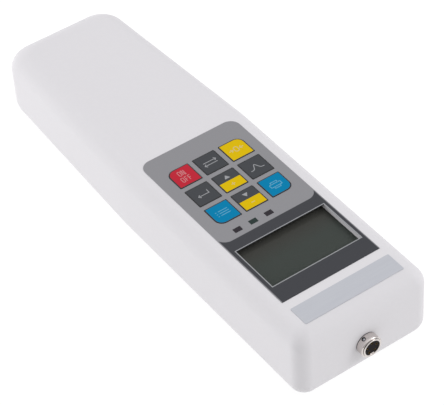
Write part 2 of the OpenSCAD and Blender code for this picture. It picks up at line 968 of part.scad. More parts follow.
module socket_lock_screw() {
  depth = socket_r - socket_bore_r - 2 * loose;
  color("dimgray")
    at_sensor_socket()
      rotate(lock_angle)
        translate([socket_bore_r + loose, 0, lock_out])
          rotate([0, 90, 0])
            difference() {
              cylinder(h = depth, r = lock_r);
              translate([0, 0, depth / 2])
                cylinder(h = depth, r = lock_r * lock_hex_share, $fn = 6);
            }
}

// Insulator of the socket, with a keyway at the bottom and a hole for each contact
module socket_insert() {
  color("black")
    at_sensor_socket()
      difference() {
        translate([0, 0, -socket_neck_length])
          cylinder(h = socket_neck_length + socket_length - insert_recess, r = socket_bore_r - snug);
        translate([-key_rib[0] / 2 - loose, -socket_bore_r - cut, -loose])
          cube([key_rib[0] + 2 * loose, key_rib[1] + loose + cut, socket_length + cut]);
        contact_rods(pin_r + snug, -socket_neck_length - cut, socket_length + cut);
      }
}

// The ring of contacts, turned so that none sits over the keyway
module contact_rods(r, bottom, top) {
  for (i = [0:pin_count - 1])
    rotate(360 * (i + 0.5) / pin_count - 90)
      rod([pin_circle_r, 0], r, bottom, top);
}

module socket_contacts() {
  color("gold")
    at_sensor_socket()
      contact_rods(pin_r, -socket_neck_length - pin_back, socket_length - insert_recess - loose);
}

module socket_nut() {
  color("silver")
    at_sensor_socket()
      translate([0, 0, -wall - nut_thick])
        difference() {
          cylinder(h = nut_thick, r = socket_neck_r + nut_rim, $fn = 6);
          translate([0, 0, -cut])
            cylinder(h = nut_thick + 2 * cut, r = socket_neck_r + thread);
        }
}

module sensor_lead() {
  color("dimgray")
    lead(0, sensor_start, sensor_header_y, socket_height, header_bottom, sensor_lead_r);
}

// Barrel and flange shared by the two rear sockets
module rear_barrel() {
  rotate_extrude()
    polygon([
      [0, -rear_depth], [rear_barrel_r, -rear_depth], [rear_barrel_r, 0], [rear_flange_r, 0],
      [rear_flange_r, rear_flange_thick - barrel_chamfer],
      [rear_flange_r - barrel_chamfer, rear_flange_thick], [0, rear_flange_thick]
    ]);
}

module charge_jack() {
  color("dimgray")
    at_rear_socket(1)
      difference() {
        rear_barrel();
        translate([0, 0, jack_back - rear_depth])
          cylinder(h = rear_depth + cut, r = jack_bore_r);
        translate([0, 0, -rear_depth - cut])
          cylinder(h = rear_depth, r = jack_pin_r + snug);
      }
}

module charge_pin() {
  color("silver")
    at_rear_socket(1)
      translate([0, 0, -rear_depth - pin_back])
        cylinder(h = rear_depth + pin_back - pin_recess, r = jack_pin_r);
}

module data_socket() {
  color("silver")
    at_rear_socket(-1)
      difference() {
        rear_barrel();
        translate([0, 0, -rear_depth - cut])
          cylinder(h = rear_depth + rear_flange_thick + 2 * cut, r = data_bore_r);
      }
}

module data_insert() {
  color("black")
    at_rear_socket(-1)
      difference() {
        translate([0, 0, -rear_depth - pin_back])
          cylinder(h = rear_depth + pin_back + rear_flange_thick - insert_recess, r = data_bore_r - snug);
        for (turn = [45:90:315])
          rotate(turn)
            rod([data_circle_r, 0], pin_r + snug, -rear_depth / 2, rear_flange_thick + cut);
      }
}

module rear_nuts() {
  color("silver")
    for (side = [-1, 1])
      at_rear_socket(side)
        translate([0, 0, -wall - rear_nut_thick])
          difference() {
            cylinder(h = rear_nut_thick, r = rear_barrel_r + rear_nut_rim, $fn = 6);
            translate([0, 0, -cut])
              cylinder(h = rear_nut_thick + 2 * cut, r = rear_barrel_r + thread);
          }
}

module rear_leads() {
  start = rear_y - rear_depth - pin_back;
  color("dimgray")
    for (side = [-1, 1])
      lead(side * rear_socket_x, start, header_y, rear_socket_height, header_bottom, rear_lead_r);
}

front_housing();
back_cover();
case_screws();
mount_inserts();
name_label();
graphic_overlay();
keypad_spacer();
keypad_circuit();
key(-1, 1);  // key_power
key(0, 1);  // key_mode
key(1, 1);  // key_zero
key(-1, 0);  // key_set
key(0, 0);  // key_up
key(1, 0);  // key_peak
key(-1, -1);  // key_memory
key(0, -1);  // key_down
key(1, -1);  // key_print
dome(-1, 1);  // dome_power
dome(0, 1);  // dome_mode
dome(1, 1);  // dome_zero
dome(-1, 0);  // dome_set
dome(0, 0);  // dome_up
dome(1, 0);  // dome_peak
dome(-1, -1);  // dome_memory
dome(0, -1);  // dome_down
dome(1, -1);  // dome_print
display_window();
lcd_glass();
lcd_frame();
lcd_backlight();
contact_strips();
main_board();
board_screws();
microcontroller();
converter_chip();
buzzer();
keypad_connector();
lead_headers();
indicator(0, "maroon");  // indicator_low
indicator(1, "darkgreen");  // indicator_good
indicator(2, "maroon");  // indicator_high
indicator_leds();
battery_cells();
battery_wrap();
battery_clamp();
clamp_screws();
battery_leads();
socket_shell();
socket_lock_screw();
socket_insert();
socket_contacts();
socket_nut();
sensor_lead();
charge_jack();
charge_pin();
data_socket();
data_insert();
rear_nuts();
rear_leads();
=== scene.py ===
# %% [markdown]
# # A handheld digital force gauge
# The solids are already packed: each is a named node on a named body, in metres, and none of them is moved
# here. A node whose form is right keeps it and gets a finish. Where the eye wants a softer or finer form than
# the solid has, a new piece is worked out with numpy and stands for the node.

import math

import bmesh
import bpy
import numpy as np
from mathutils import Matrix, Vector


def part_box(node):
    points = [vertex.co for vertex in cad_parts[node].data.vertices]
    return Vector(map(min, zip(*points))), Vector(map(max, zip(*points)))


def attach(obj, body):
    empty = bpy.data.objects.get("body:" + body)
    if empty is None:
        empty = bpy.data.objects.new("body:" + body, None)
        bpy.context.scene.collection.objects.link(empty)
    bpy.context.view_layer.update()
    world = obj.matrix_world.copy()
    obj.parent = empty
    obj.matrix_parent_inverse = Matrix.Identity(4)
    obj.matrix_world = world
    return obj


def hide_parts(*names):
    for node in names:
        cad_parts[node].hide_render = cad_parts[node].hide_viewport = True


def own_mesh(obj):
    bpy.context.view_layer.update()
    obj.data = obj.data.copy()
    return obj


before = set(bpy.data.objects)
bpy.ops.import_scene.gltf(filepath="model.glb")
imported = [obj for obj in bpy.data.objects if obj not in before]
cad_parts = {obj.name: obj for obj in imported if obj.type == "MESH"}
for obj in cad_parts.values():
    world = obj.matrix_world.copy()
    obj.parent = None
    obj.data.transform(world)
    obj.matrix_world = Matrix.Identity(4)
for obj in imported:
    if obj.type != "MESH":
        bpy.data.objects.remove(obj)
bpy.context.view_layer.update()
MM = 0.001  # one millimetre, in metres

# %% [markdown]
# ## The camera
# The gauge lies on its back and is seen from above its display end, a little from the left. A long lens keeps
# its sides nearly parallel. The camera could be pointed with a constraint, but its three axes say the same
# thing in plain numbers: where it aims, from which bearing and height, how far away, and how it is tilted.

# %% Camera
AIM = np.array([0.487, -15.683, 18.003])  # point in the middle of the picture, mm
BEARING = math.radians(-32.730)  # from the display end towards the left side
HEIGHT = math.radians(43.569)  # above the table
TILT = math.radians(-4.020)  # of the picture's own horizon
DISTANCE = 880.43  # from the aim point, mm
SENSOR = 36.0  # width of the sensor, mm
LENS = 167.354  # focal length, mm
NEAREST = 0.01  # nothing closer to the camera than this is drawn, m

to_eye = np.array([math.sin(BEARING) * math.cos(HEIGHT), -math.cos(BEARING) * math.cos(HEIGHT),
                   math.sin(HEIGHT)])
level = np.array([math.cos(BEARING), math.sin(BEARING), 0.0])
upright = np.cross(to_eye, level)
right = math.cos(TILT) * level + math.sin(TILT) * upright
up = math.cos(TILT) * upright - math.sin(TILT) * level
camera = bpy.data.objects.new("camera", bpy.data.cameras.new("camera"))
bpy.context.scene.collection.objects.link(camera)
camera.data.sensor_fit = "HORIZONTAL"
camera.data.sensor_width = SENSOR
camera.data.lens = LENS
camera.data.clip_start = NEAREST
eye = (AIM + DISTANCE * to_eye) * MM
camera.matrix_world = Matrix(np.column_stack([right, up, to_eye, eye]).tolist() + [[0, 0, 0, 1]])
bpy.context.scene.camera = camera
print("camera at", np.round(eye, 3), "m")

# %% [markdown]
# ## From arrays to meshes
# Every new piece below is a grid of points: rows run along one parameter of the shape, columns along the
# other. Four helpers are enough for all of them. One turns a grid into faces, one joins shapes, one puts a
# shape into the scene, closed and shaded smooth with its hard edges kept, and one reads a solid's box.

# %% Grid helpers
MERGE = 1e-6  # points nearer than this are one point, m


def skin(grid, around=False, along=False, caps=False):
    """Faces of a grid of points (rows, columns, 3): cell (i, j) joins its corner to the next column's and the
    next row's. `around` closes each row on itself, `along` closes the rows, and `caps` puts one flat face on
    the first row and one on the last. Returns (points, faces)."""
    rows, columns = grid.shape[:2]
    number = np.arange(rows * columns).reshape(rows, columns)
    wide = np.hstack([number, number[:, :1]]) if around else number
    wide = np.vstack([wide, wide[:1]]) if along else wide
    cells = np.stack([wide[:-1, :-1], wide[:-1, 1:], wide[1:, 1:], wide[1:, :-1]], axis=-1)
    faces = cells.reshape(-1, 4).tolist()
    if caps:
        faces += [number[0, ::-1].tolist(), number[-1].tolist()]
    return grid.reshape(-1, 3), faces


def join(*shapes):
    """Several (points, faces) as one: each shape's corner numbers are moved up by the points before it."""
    starts = np.cumsum([0] + [len(points) for points, _ in shapes]).tolist()
    faces = [[corner + start for corner in face] for start, (_, some) in zip(starts, shapes) for face in some]
    return np.concatenate([points for points, _ in shapes]), faces


def place(name, shape, body, finishes, stands_for=(), bands=None, crease=32):
    """Puts a shape, in millimetres, into the scene as an object at the origin that rides on a body: doubles
    merged, faces turned outwards, smooth but for edges sharper than `crease` degrees. `bands` gives each face
    its place in the list of finishes."""
    points, faces = shape
    mesh = bpy.data.meshes.new(name)
    mesh.from_pydata((points * MM).tolist(), [], faces)
    if bands is not None:
        mesh.polygons.foreach_set("material_index", np.asarray(bands, np.int32))
    work = bmesh.new()
    work.from_mesh(mesh)
    bmesh.ops.remove_doubles(work, verts=work.verts, dist=MERGE)
    bmesh.ops.recalc_face_normals(work, faces=work.faces)
    work.to_mesh(mesh)
    work.free()
    mesh.shade_smooth()
    mesh.set_sharp_from_angle(angle=math.radians(crease))
    for finish in finishes:
        mesh.materials.append(finish)
    piece = bpy.data.objects.new(name, mesh)
    bpy.context.scene.collection.objects.link(piece)
    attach(piece, body)
    if stands_for:
        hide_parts(*stands_for)
    return piece


def box_mm(node):
    """Lowest and highest corner of a node, in millimetres."""
    return np.array(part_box(node)) / MM


# %% [markdown]
# ## Finishes
# A finish starts from the real material. One function turns a screen colour into the linear one that the
# shader works in, one adds a node with its settings and links, and one gives the mottle that most finishes
# share: two near shades in soft patches, a little change of gloss with them, and a faint relief.

# %% Finish helpers
FACTOR, COLOUR_A, COLOUR_B, MIXED = 0, 6, 7, 2  # sockets of a Mix node that mixes two colours
PATCH_DETAIL = 3.0  # how many finer layers of patches lie over the first


def linear(code):
    """An sRGB hex code as linear red, green, blue and alpha: c / 12.92 in the dark toe, else
    ((c + 0.055) / 1.055) to the power 2.4."""
    srgb = np.array([int(code[i:i + 2], 16) for i in (1, 3, 5)]) / 255
    light = np.where(srgb <= 0.04045, srgb / 12.92, ((srgb + 0.055) / 1.055) ** 2.4)
    return (*light.tolist(), 1.0)


def add(tree, kind, feeds, **settings):
    """One node: `settings` are its own options, and `feeds` gives each input a link or a value."""
    node = tree.nodes.new("ShaderNode" + kind)
    for option, value in settings.items():
        setattr(node, option, value)
    for key, value in feeds.items():
        if isinstance(value, bpy.types.NodeSocket):
            tree.links.new(value, node.inputs[key])
        else:
            node.inputs[key].default_value = value
    return node


def mottled(name, shades, patch, gloss, relief=0.0, stretch=(1, 1, 1), **sockets):
    """A finish with two near shades in patches `patch` millimetres wide, roughness between the two values of
    `gloss` and a relief of `relief` millimetres. `stretch` draws the patches out, as brushing does. Other
    arguments are constant sockets of the shader. Returns (material, node tree, shader, patch node)."""
    material = bpy.data.materials.new(name)
    material.use_nodes = True
    tree = material.node_tree
    shader = tree.nodes["Principled BSDF"]
    for socket, value in sockets.items():
        shader.inputs[socket.replace("_", " ")].default_value = value
    spot = add(tree, "TexCoord", {})
    drawn = add(tree, "Mapping", {"Vector": spot.outputs["Object"], "Scale": stretch})
    patches = add(tree, "TexNoise", {"Vector": drawn.outputs[0], "Scale": 1 / (patch * MM), "Detail": PATCH_DETAIL})
    tint = add(tree, "Mix", {FACTOR: patches.outputs[0], COLOUR_A: linear(shades[0]), COLOUR_B: linear(shades[1])},
               data_type="RGBA")
    tree.links.new(tint.outputs[MIXED], shader.inputs["Base Color"])
    shine = add(tree, "MapRange", {"Value": patches.outputs[0], "To Min": gloss[0], "To Max": gloss[1]})
    tree.links.new(shine.outputs[0], shader.inputs["Roughness"])
    if relief:
        bump = add(tree, "Bump", {"Height": patches.outputs[0], "Distance": relief * MM, "Strength": 1.0})
        tree.links.new(bump.outputs[0], shader.inputs["Normal"])
    return material, tree, shader, patches


# %% [markdown]
# ### Casing: powder coat on die-cast aluminium
# Baked powder leaves a white matt skin with a very fine orange peel. The peel is finer than a pixel of the
# picture, so it is drawn about twice as coarse as it is, and the eye reads it as softness. A matt powder hardly
# mirrors, so the rolled edges show no bright line, only a slow change of tone.

# %% Casing finish
powder_coat = mottled("powder_coat_white_matt", ("#DCDADD", "#DFDDE0"), patch=1.6, gloss=(0.50, 0.56),
                      relief=0.002, Specular_IOR_Level=0.1)[0]
print("casing finish", powder_coat.name)

# %% [markdown]
# ### Overlay and key films: printed polyester
# The overlay is clear polyester printed on its back, with a matt grain on its front, so its colours are even
# and its reflections broad. One film carries two inks: grey under the keys, graphite round the display. The
# edge between them is worked out in the material, as the distance from a rectangle with round corners. The
# graphite stops a hair short of the film's long edges, so that a thin line of grey is left there. The long
# cuts are made after printing and carry no ink: faces that look sideways take the pale tone of the bare film.

# %% Overlay film
GREY_EDGE = -52.5  # where the grey ink ends, mm
GREY_CORNER = 5.0  # radius of the grey field's corners, mm
GREY_LINE = 0.5  # width of the grey line left beside the graphite, mm
GREY_PAST = 20.0  # the grey field runs on past the film's far end, so only its near corners show, mm
GREY_DEPTH = 100.0  # and far above and below the film, mm
INK_EDGE = 0.05  # half the width of the soft edge between the inks, mm
MATT = 0.05  # a grained film mirrors much less than a polished one
GRAIN, FILM_RELIEF, INK_RELIEF = 0.5, 0.002, 0.001  # width of the grain, relief of film and of ink, mm
film_low, film_high = box_mm("graphic_overlay")
grey_half = np.array([film_high[0], (film_high[1] + GREY_PAST - GREY_EDGE) / 2, GREY_DEPTH])
grey_mid = np.array([0.0, GREY_EDGE + grey_half[1], 0.0])

overlay_film, film_tree, film_shader, grain = mottled(
    "printed_polyester_matt", ("#8D8D90", "#929195"), GRAIN, gloss=(0.44, 0.52), relief=FILM_RELIEF,
    Specular_IOR_Level=MATT)
grey = film_shader.inputs["Base Color"].links[0].from_socket
graphite = add(film_tree, "Mix", {FACTOR: grain.outputs[0], COLOUR_A: linear("#434448"),
                                  COLOUR_B: linear("#47484C")}, data_type="RGBA")
film_spot = add(film_tree, "TexCoord", {})
shift = add(film_tree, "VectorMath", {0: film_spot.outputs["Object"], 1: (-grey_mid * MM).tolist()},
            operation="ADD")
fold = add(film_tree, "VectorMath", {0: shift.outputs[0]}, operation="ABSOLUTE")
beyond = add(film_tree, "VectorMath", {0: fold.outputs[0], 1: ((GREY_CORNER - grey_half) * MM).tolist()},
             operation="ADD")
outside = add(film_tree, "VectorMath", {0: beyond.outputs[0], 1: (0, 0, 0)}, operation="MAXIMUM")
from_corner = add(film_tree, "VectorMath", {0: outside.outputs[0]}, operation="LENGTH")
past_grey = add(film_tree, "MapRange", {"Value": from_corner.outputs["Value"],
                                        "From Min": (GREY_CORNER - INK_EDGE) * MM,
                                        "From Max": (GREY_CORNER + INK_EDGE) * MM})
from_middle = add(film_tree, "SeparateXYZ", {0: fold.outputs[0]})
off_line = add(film_tree, "MapRange", {"Value": from_middle.outputs["X"],
                                       "From Min": (grey_half[0] - GREY_LINE) * MM,
                                       "From Max": (grey_half[0] - GREY_LINE / 2) * MM,
                                       "To Min": 1.0, "To Max": 0.0})
field = add(film_tree, "Math", {0: past_grey.outputs[0], 1: off_line.outputs[0]}, operation="MULTIPLY")
printed = add(film_tree, "Mix", {FACTOR: field.outputs[0], COLOUR_A: grey, COLOUR_B: graphite.outputs[MIXED]},
              data_type="RGBA")
face_way = add(film_tree, "NewGeometry", {})
turned_to = add(film_tree, "SeparateXYZ", {0: face_way.outputs["True Normal"]})
sideways = add(film_tree, "Math", {0: turned_to.outputs["X"]}, operation="ABSOLUTE")
cut_edge = add(film_tree, "Mix", {FACTOR: sideways.outputs[0], COLOUR_A: printed.outputs[MIXED],
                                  COLOUR_B: linear("#C4C5C7")}, data_type="RGBA")
film_tree.links.new(cut_edge.outputs[MIXED], film_shader.inputs["Base Color"])
print("overlay", np.round(film_high - film_low, 2), "mm, grey field ends at", GREY_EDGE)

# %% [markdown]
# The key films are the same polyester, embossed, one for each colour: even colours under a matt grain. The signs
# are screen inks, each paler than its key, and a black ink gives the borders. Ink dries a little rougher than the
# film, so it looks flatter than its ground.

# %% Key films and printed marks
KEY_SHADES = {  # two shades of a key's film, and its gloss
    "red": ("#B92636", "#C02A3B", (0.36, 0.44)),
    "dark": ("#45474A", "#4A4C50", (0.40, 0.48)),
    "yellow": ("#D6B400", "#DDBB06", (0.36, 0.44)),
    "blue": ("#007AA8", "#0080AE", (0.36, 0.44)),
}
SIGN_SHADES = {  # name and two shades of the ink on each film
    "red": ("rose", "#C67A7E", "#CC8286"),
    "dark": ("grey", "#999A9D", "#A1A2A5"),
    "yellow": ("cream", "#CDBB84", "#D3C18C"),
    "blue": ("ice", "#5EA2C2", "#66AAC8"),
}
INK_GLOSS = (0.45, 0.55)  # roughness of dry ink
key_film = {colour: mottled("embossed_polyester_" + colour, (shade, other), GRAIN, gloss, FILM_RELIEF,
                            Specular_IOR_Level=MATT)[0] for colour, (shade, other, gloss) in KEY_SHADES.items()}
sign_ink = {colour: mottled("screen_ink_" + ink, (shade, other), GRAIN, INK_GLOSS, INK_RELIEF,
                            Specular_IOR_Level=MATT)[0] for colour, (ink, shade, other) in SIGN_SHADES.items()}
# Black ink for the keys' borders; the socket's grooves and hole use it too, as painted shade.
black_ink_and_painted_shade = mottled("screen_ink_black", ("#1B1B1E", "#202023"), GRAIN, INK_GLOSS, INK_RELIEF)[0]
print("key films", sorted(key_film))

# %% [markdown]
# ### Display, lenses and metals
# The window is smoked polycarbonate over a liquid-crystal glass that is dark while the gauge is off. The lenses
# over the lamps are tinted so deeply that they look nearly black. The sensor socket is turned brass under
# bright nickel, so it mirrors its room with a slight warmth.

# %% Window, display and lens finishes
# Extruded sheet with a hard coat: a dark, clear pane with a weak mirror.
smoked_pc = mottled("polycarbonate_smoked", ("#0B0D0B", "#0E100E"), patch=6.0, gloss=(0.14, 0.2), Alpha=0.5,
                    IOR=1.58, Specular_IOR_Level=0.15)[0]
PAINTED_SHADE_FROM, PAINTED_SHADE_TO = -61.5, -70.0  # between these a painted shade on the display fades out from its far edge, mm
# Liquid crystal between sheets of glass: a smooth grey green. Towards the far edge a painted shade makes it a little
# darker and greyer, where the opening's wall keeps light off it.
crystal, lcd_tree, lcd_shader, _ = mottled("liquid_crystal_dark", ("#747D77", "#7A837D"), patch=3.0,
                                           gloss=(0.10, 0.16), Specular_IOR_Level=0.05)
plain = lcd_shader.inputs["Base Color"].links[0].from_socket
lcd_spot = add(lcd_tree, "TexCoord", {})
lengthwise = add(lcd_tree, "SeparateXYZ", {0: lcd_spot.outputs["Object"]})
nearer = add(lcd_tree, "MapRange", {"Value": lengthwise.outputs["Y"], "From Min": PAINTED_SHADE_FROM * MM,
                                    "From Max": PAINTED_SHADE_TO * MM, "To Min": 0.0, "To Max": 1.0})
# Painted shade: the far edge takes a darker, greyer colour, which fades out towards the near end.
painted_far_shade = add(lcd_tree, "Mix", {FACTOR: nearer.outputs[0], COLOUR_A: linear("#787872"), COLOUR_B: plain},
             data_type="RGBA")
lcd_tree.links.new(painted_far_shade.outputs[MIXED], lcd_shader.inputs["Base Color"])
# Moulded acrylic, tinted: smooth and nearly black while the lamp under it is off.
LENS_PATCH, LENS_GLOSS, LENS_MIRROR = 0.8, (0.12, 0.2), 0.2
lens_red, lens_green = [
    mottled(name, shades, LENS_PATCH, LENS_GLOSS, Specular_IOR_Level=LENS_MIRROR)[0]
    for name, shades in (("acrylic_tinted_red", ("#28242A", "#2C272E")),
                         ("acrylic_tinted_green", ("#1E2F2C", "#223330")))]
print("display turns greener from", PAINTED_SHADE_FROM, "to", PAINTED_SHADE_TO, "mm")

# %% [markdown]
# ### Metals, plastics and what lies inside
# Bright nickel and a silver label are seen from outside. The rest is hidden while the gauge is closed, and starts
# from its usual stock: rolled sheet, moulded plastic, plated wire, shrunk sleeve. Each line gives two shades, the
# width of a patch in millimetres, the roughness and the relief in millimetres, and a comment says what the eye gets.

# %% Metals, plastics and the rest
# Plating over turned brass: it mirrors the room, a little warm and a little blurred.
nickel = mottled("nickel_plate_bright", ("#D2CBC8", "#DCD6D2"), patch=0.6, gloss=(0.16, 0.24), relief=0.001,
                 Metallic=1.0)[0]
# Silvered film, brushed along its length and lacquered: long fine streaks with a faint metal glint.
label_foil = mottled("polyester_label_silver", ("#BBBDC5", "#C5C7CD"), patch=0.8, gloss=(0.34, 0.44), relief=0.001,
                     stretch=(0.05, 1, 1), Metallic=0.25)[0]
SLOT_FINISH = {
    "casing": powder_coat,
    "label": label_foil,
    "overlay": overlay_film,
    "key_red": key_film["red"],
    "key_dark": key_film["dark"],
    "key_yellow": key_film["yellow"],
    "key_blue": key_film["blue"],
    # Film filled with black: even, with a soft sheen.
    "keypad_film": mottled("polyester_film_black", ("#141416", "#1A1A1C"), 1.0, (0.4, 0.5), 0.001)[0],
    # Rolled spring steel: bright, with blurred reflections.
    "dome_steel": mottled("steel_spring_bright", ("#B8B8BA", "#C4C4C6"), 1.0, (0.25, 0.35), 0.001, Metallic=1.0)[0],
    "window": smoked_pc,
    "lcd": crystal,
    # Moulded thermoplastic: deep black with a fine dull grain.
    "black_plastic": mottled("pbt_black_moulded", ("#100C0D", "#161213"), 0.4, (0.42, 0.55), 0.004,
                             Specular_IOR_Level=0.08)[0],
    # Cast opal acrylic: milky white and smooth.
    "backlight": mottled("acrylic_opal", ("#E4E6E0", "#EEF0EA"), 2.0, (0.3, 0.4))[0],
    # Moulded silicone rubber: grey, matt, a little dusty.
    "strip_rubber": mottled("silicone_grey", ("#5A5A5C", "#646466"), 0.6, (0.6, 0.7), 0.004)[0],
    # Glass cloth in epoxy under green lacquer: a smooth, slightly cloudy green.
    "board": mottled("epoxy_glass_green", ("#0E5A38", "#14643F"), 0.6, (0.3, 0.4), 0.002)[0],
    # Moulded nylon: ivory and slightly waxy.
    "connector": mottled("nylon_ivory", ("#DAD4C2", "#E4DECC"), 0.6, (0.4, 0.5), 0.003)[0],
    "lens_red": lens_red,
    "lens_green": lens_green,
    # Cast epoxy: pale and glossy.
    "led": mottled("epoxy_water_clear", ("#D8DCDC", "#E4E8E8"), 0.8, (0.1, 0.2))[0],
    # Drawn steel can under nickel: grey, with soft reflections.
    "cell": mottled("nickel_plated_can", ("#A8A8A8", "#B8B8B8"), 1.0, (0.3, 0.4), 0.001, Metallic=1.0)[0],
    # Shrunk vinyl sleeve: blue, glossy, slightly wavy.
    "wrap": mottled("shrink_sleeve_blue", ("#1E3C78", "#244484"), 2.0, (0.25, 0.4), 0.006)[0],
    # Sheet dipped in zinc: broad dull spangles.
    "clamp": mottled("galvanised_sheet", ("#A4A6A8", "#B4B6B8"), 3.0, (0.35, 0.5), 0.002, Metallic=1.0)[0],
    # Clear zinc plating on steel: a cool grey shine.
    "zinc_screw": mottled("zinc_plate_clear", ("#AEB0B4", "#BEC0C4"), 0.5, (0.28, 0.4), 0.002, Metallic=1.0)[0],
    # Turned brass: warm, with fine tool marks.
    "brass": mottled("brass_turned", ("#B8964C", "#C4A258"), 0.5, (0.25, 0.35), 0.002, Metallic=1.0)[0],
    "nickel": nickel,
    # A thin flash of gold over nickel: a deep yellow, painted much darker than gold as the shade of the deep socket.
    "gold_contact": mottled("gold_flash", ("#7A6436", "#866E3E"), 0.4, (0.2, 0.3), 0.001, Metallic=1.0)[0],
    # Extruded vinyl sleeve: dark, with a soft sheen.
    "lead": mottled("pvc_sleeve_dark", ("#26262A", "#2E2E32"), 0.8, (0.4, 0.5), 0.003)[0],
}
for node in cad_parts.values():
    for holder in node.material_slots:
        holder.material = SLOT_FINISH[holder.material.name.split(".")[0]]
print("finishes", len(SLOT_FINISH), "given to", len(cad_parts), "nodes")

# %% [markdown]
# ## The front casing
# A deep white casting whose long edges are rolled, whose corners are round in plan, and whose handle half
# narrows and falls away a little. In Blender it could be a box with bevels, but the roll has one radius while
# the corners have others, and that is where bevels pinch. So the casing is one grid. Columns run round the
# plan outline. Rows start at the joint line, climb the wall, roll over the edge, cross the face to the
# overlay's seat, step down through the display opening, and return inside the wall to where they began. On the
# way across the face they first keep the outline's own shape, as far as a line called the apron, and only then
# turn to the seat's. Without it, long thin cells beside the roll would bend the light and show as creases.

# %% Plan outline
shell_low, shell_high = box_mm("front_housing")
FRONT, REAR = shell_low[1], shell_high[1]
HEAD_HALF = shell_high[0]
HANDLE_HALF = 29.3  # half width at the handle's end
TAPER_FROM = 11.4  # where the handle starts to narrow
CORNER_NEAR, CORNER_FAR = 6.4, 11.6  # plan radii
CORNER_DRAW = 0.5  # plan radius lost for each millimetre drawn in
SOCKET_GAP = 3.1  # half the opening behind the sensor socket
REAR_GAP = np.array([12.8, 5.2])  # opening behind a rear socket, from and to
NEAR_STEPS, FAR_STEPS = 16, 20  # columns round a near corner and a far one
NEAR_END = np.array([0.0, SOCKET_GAP, 8.0, 14.0, 20.0])  # columns along the near end, from its middle
FAR_END = np.array([*REAR_GAP, 2.6, 0.0])  # and along the far end, to its middle
BY_CORNER = 0.4  # each end has one more column, this far from its corner, that keeps the flat beside it flat
SIDE = np.array([0.005, 0.23, 0.46, 0.69, 0.92, 0.96, 1.0])  # columns along the straight side, as shares of it
FALL = np.array([0.03, 0.07, 0.12, 0.18, 0.25, 0.34, 0.44,
                 0.55, 0.66, 0.78, 0.9, 0.995])  # and along the handle's side
BESIDE = 5  # columns of the straight side that end at the overlay's side, the next ones end at its far corner
NEAR_COUNT, FAR_COUNT = len(NEAR_END) + 2, len(FAR_END) + 1  # columns on each end, with those by its corner


def casing_plan(inset):
    """The casing's outline drawn in by each `inset`, as points (rows, columns, 2), anticlockwise from the
    middle of the near end. Corners are arcs, centre + radius * (cos a, sin a). The handle's side is the line
    from the end of the straight side that just touches the far corner's circle: with d from the circle's
    centre to that end, its normal points at angle(d) + acos(radius / length of d)."""
    inset = np.asarray(inset, float).reshape(-1, 1)
    near_r, far_r = CORNER_NEAR - CORNER_DRAW * inset, CORNER_FAR - CORNER_DRAW * inset
    side_x, near_x = HEAD_HALF - inset, HEAD_HALF - inset - near_r
    far_x, near_y = HANDLE_HALF - inset - far_r, FRONT + inset + near_r
    far_y = REAR - inset - far_r
    dx, dy = side_x - far_x, TAPER_FROM - far_y
    lean = np.arctan2(dy, dx) + np.arccos(far_r / np.hypot(dx, dy))
    turn = np.radians(np.linspace(-90, 0, NEAR_STEPS + 1))[1:]
    bend = lean + (math.pi / 2 - lean) * np.linspace(0, 1, FAR_STEPS + 1)
    touch_x, touch_y = far_x + far_r * np.cos(lean), far_y + far_r * np.sin(lean)
    steady = inset * 0
    x = np.hstack([steady + NEAR_END, near_x - BY_CORNER, near_x, near_x + near_r * np.cos(turn),
                   side_x + 0 * SIDE, side_x + (touch_x - side_x) * FALL, far_x + far_r * np.cos(bend),
                   far_x - BY_CORNER, steady + FAR_END])
    y = np.hstack([steady + [FRONT] * NEAR_COUNT + inset, near_y + near_r * np.sin(turn),
                   near_y + (TAPER_FROM - near_y) * SIDE, TAPER_FROM + (touch_y - TAPER_FROM) * FALL,
                   far_y + far_r * np.sin(bend), steady + [REAR] * FAR_COUNT - inset])
    half = np.stack([x, y], axis=-1)
    return np.concatenate([half, half[:, -2:0:-1] * [-1, 1]], axis=1)


def window_plan(x0, x1, y0, y1, near_r, far_r):
    """A rectangle with round corners in the same columns as the casing's outline, as points (1, columns, 2),
    so that rows can be drawn from one to the other."""
    middle = (x0 + x1) / 2
    turn = np.radians(np.linspace(-90, 0, NEAR_STEPS + 1))[1:]
    bend = np.radians(np.linspace(0, 90, len(SIDE) - BESIDE + len(FALL) + 1))[1:]
    rise = np.linspace(y0 + near_r, y1 - far_r, BESIDE + 1)[1:]
    reach = (x1 - x0) / 2
    back = np.linspace(reach - far_r, 0, FAR_STEPS + FAR_COUNT + 2)[1:]
    x = np.hstack([np.linspace(0, reach - near_r, NEAR_COUNT), reach - near_r + near_r * np.cos(turn),
                   reach + 0 * rise, reach - far_r + far_r * np.cos(bend), back])
    y = np.hstack([[y0] * NEAR_COUNT, y0 + near_r + near_r * np.sin(turn), rise,
                   y1 - far_r + far_r * np.sin(bend), y1 + 0 * back])
    half = np.stack([x, y], axis=-1)
    loop = np.concatenate([half, half[-2:0:-1] * [-1, 1]])
    return (loop + [middle, 0])[None]


def raised(plan, height):
    """Plan points (rows, columns, 2) with a height for each row or point."""
    height = np.broadcast_to(height, plan.shape[:2])
    return np.concatenate([plan, height[..., None]], axis=-1)


print("outline columns", casing_plan(0).shape[1], "and", window_plan(-1, 1, -1, 1, 0.1, 0.1).shape[1])

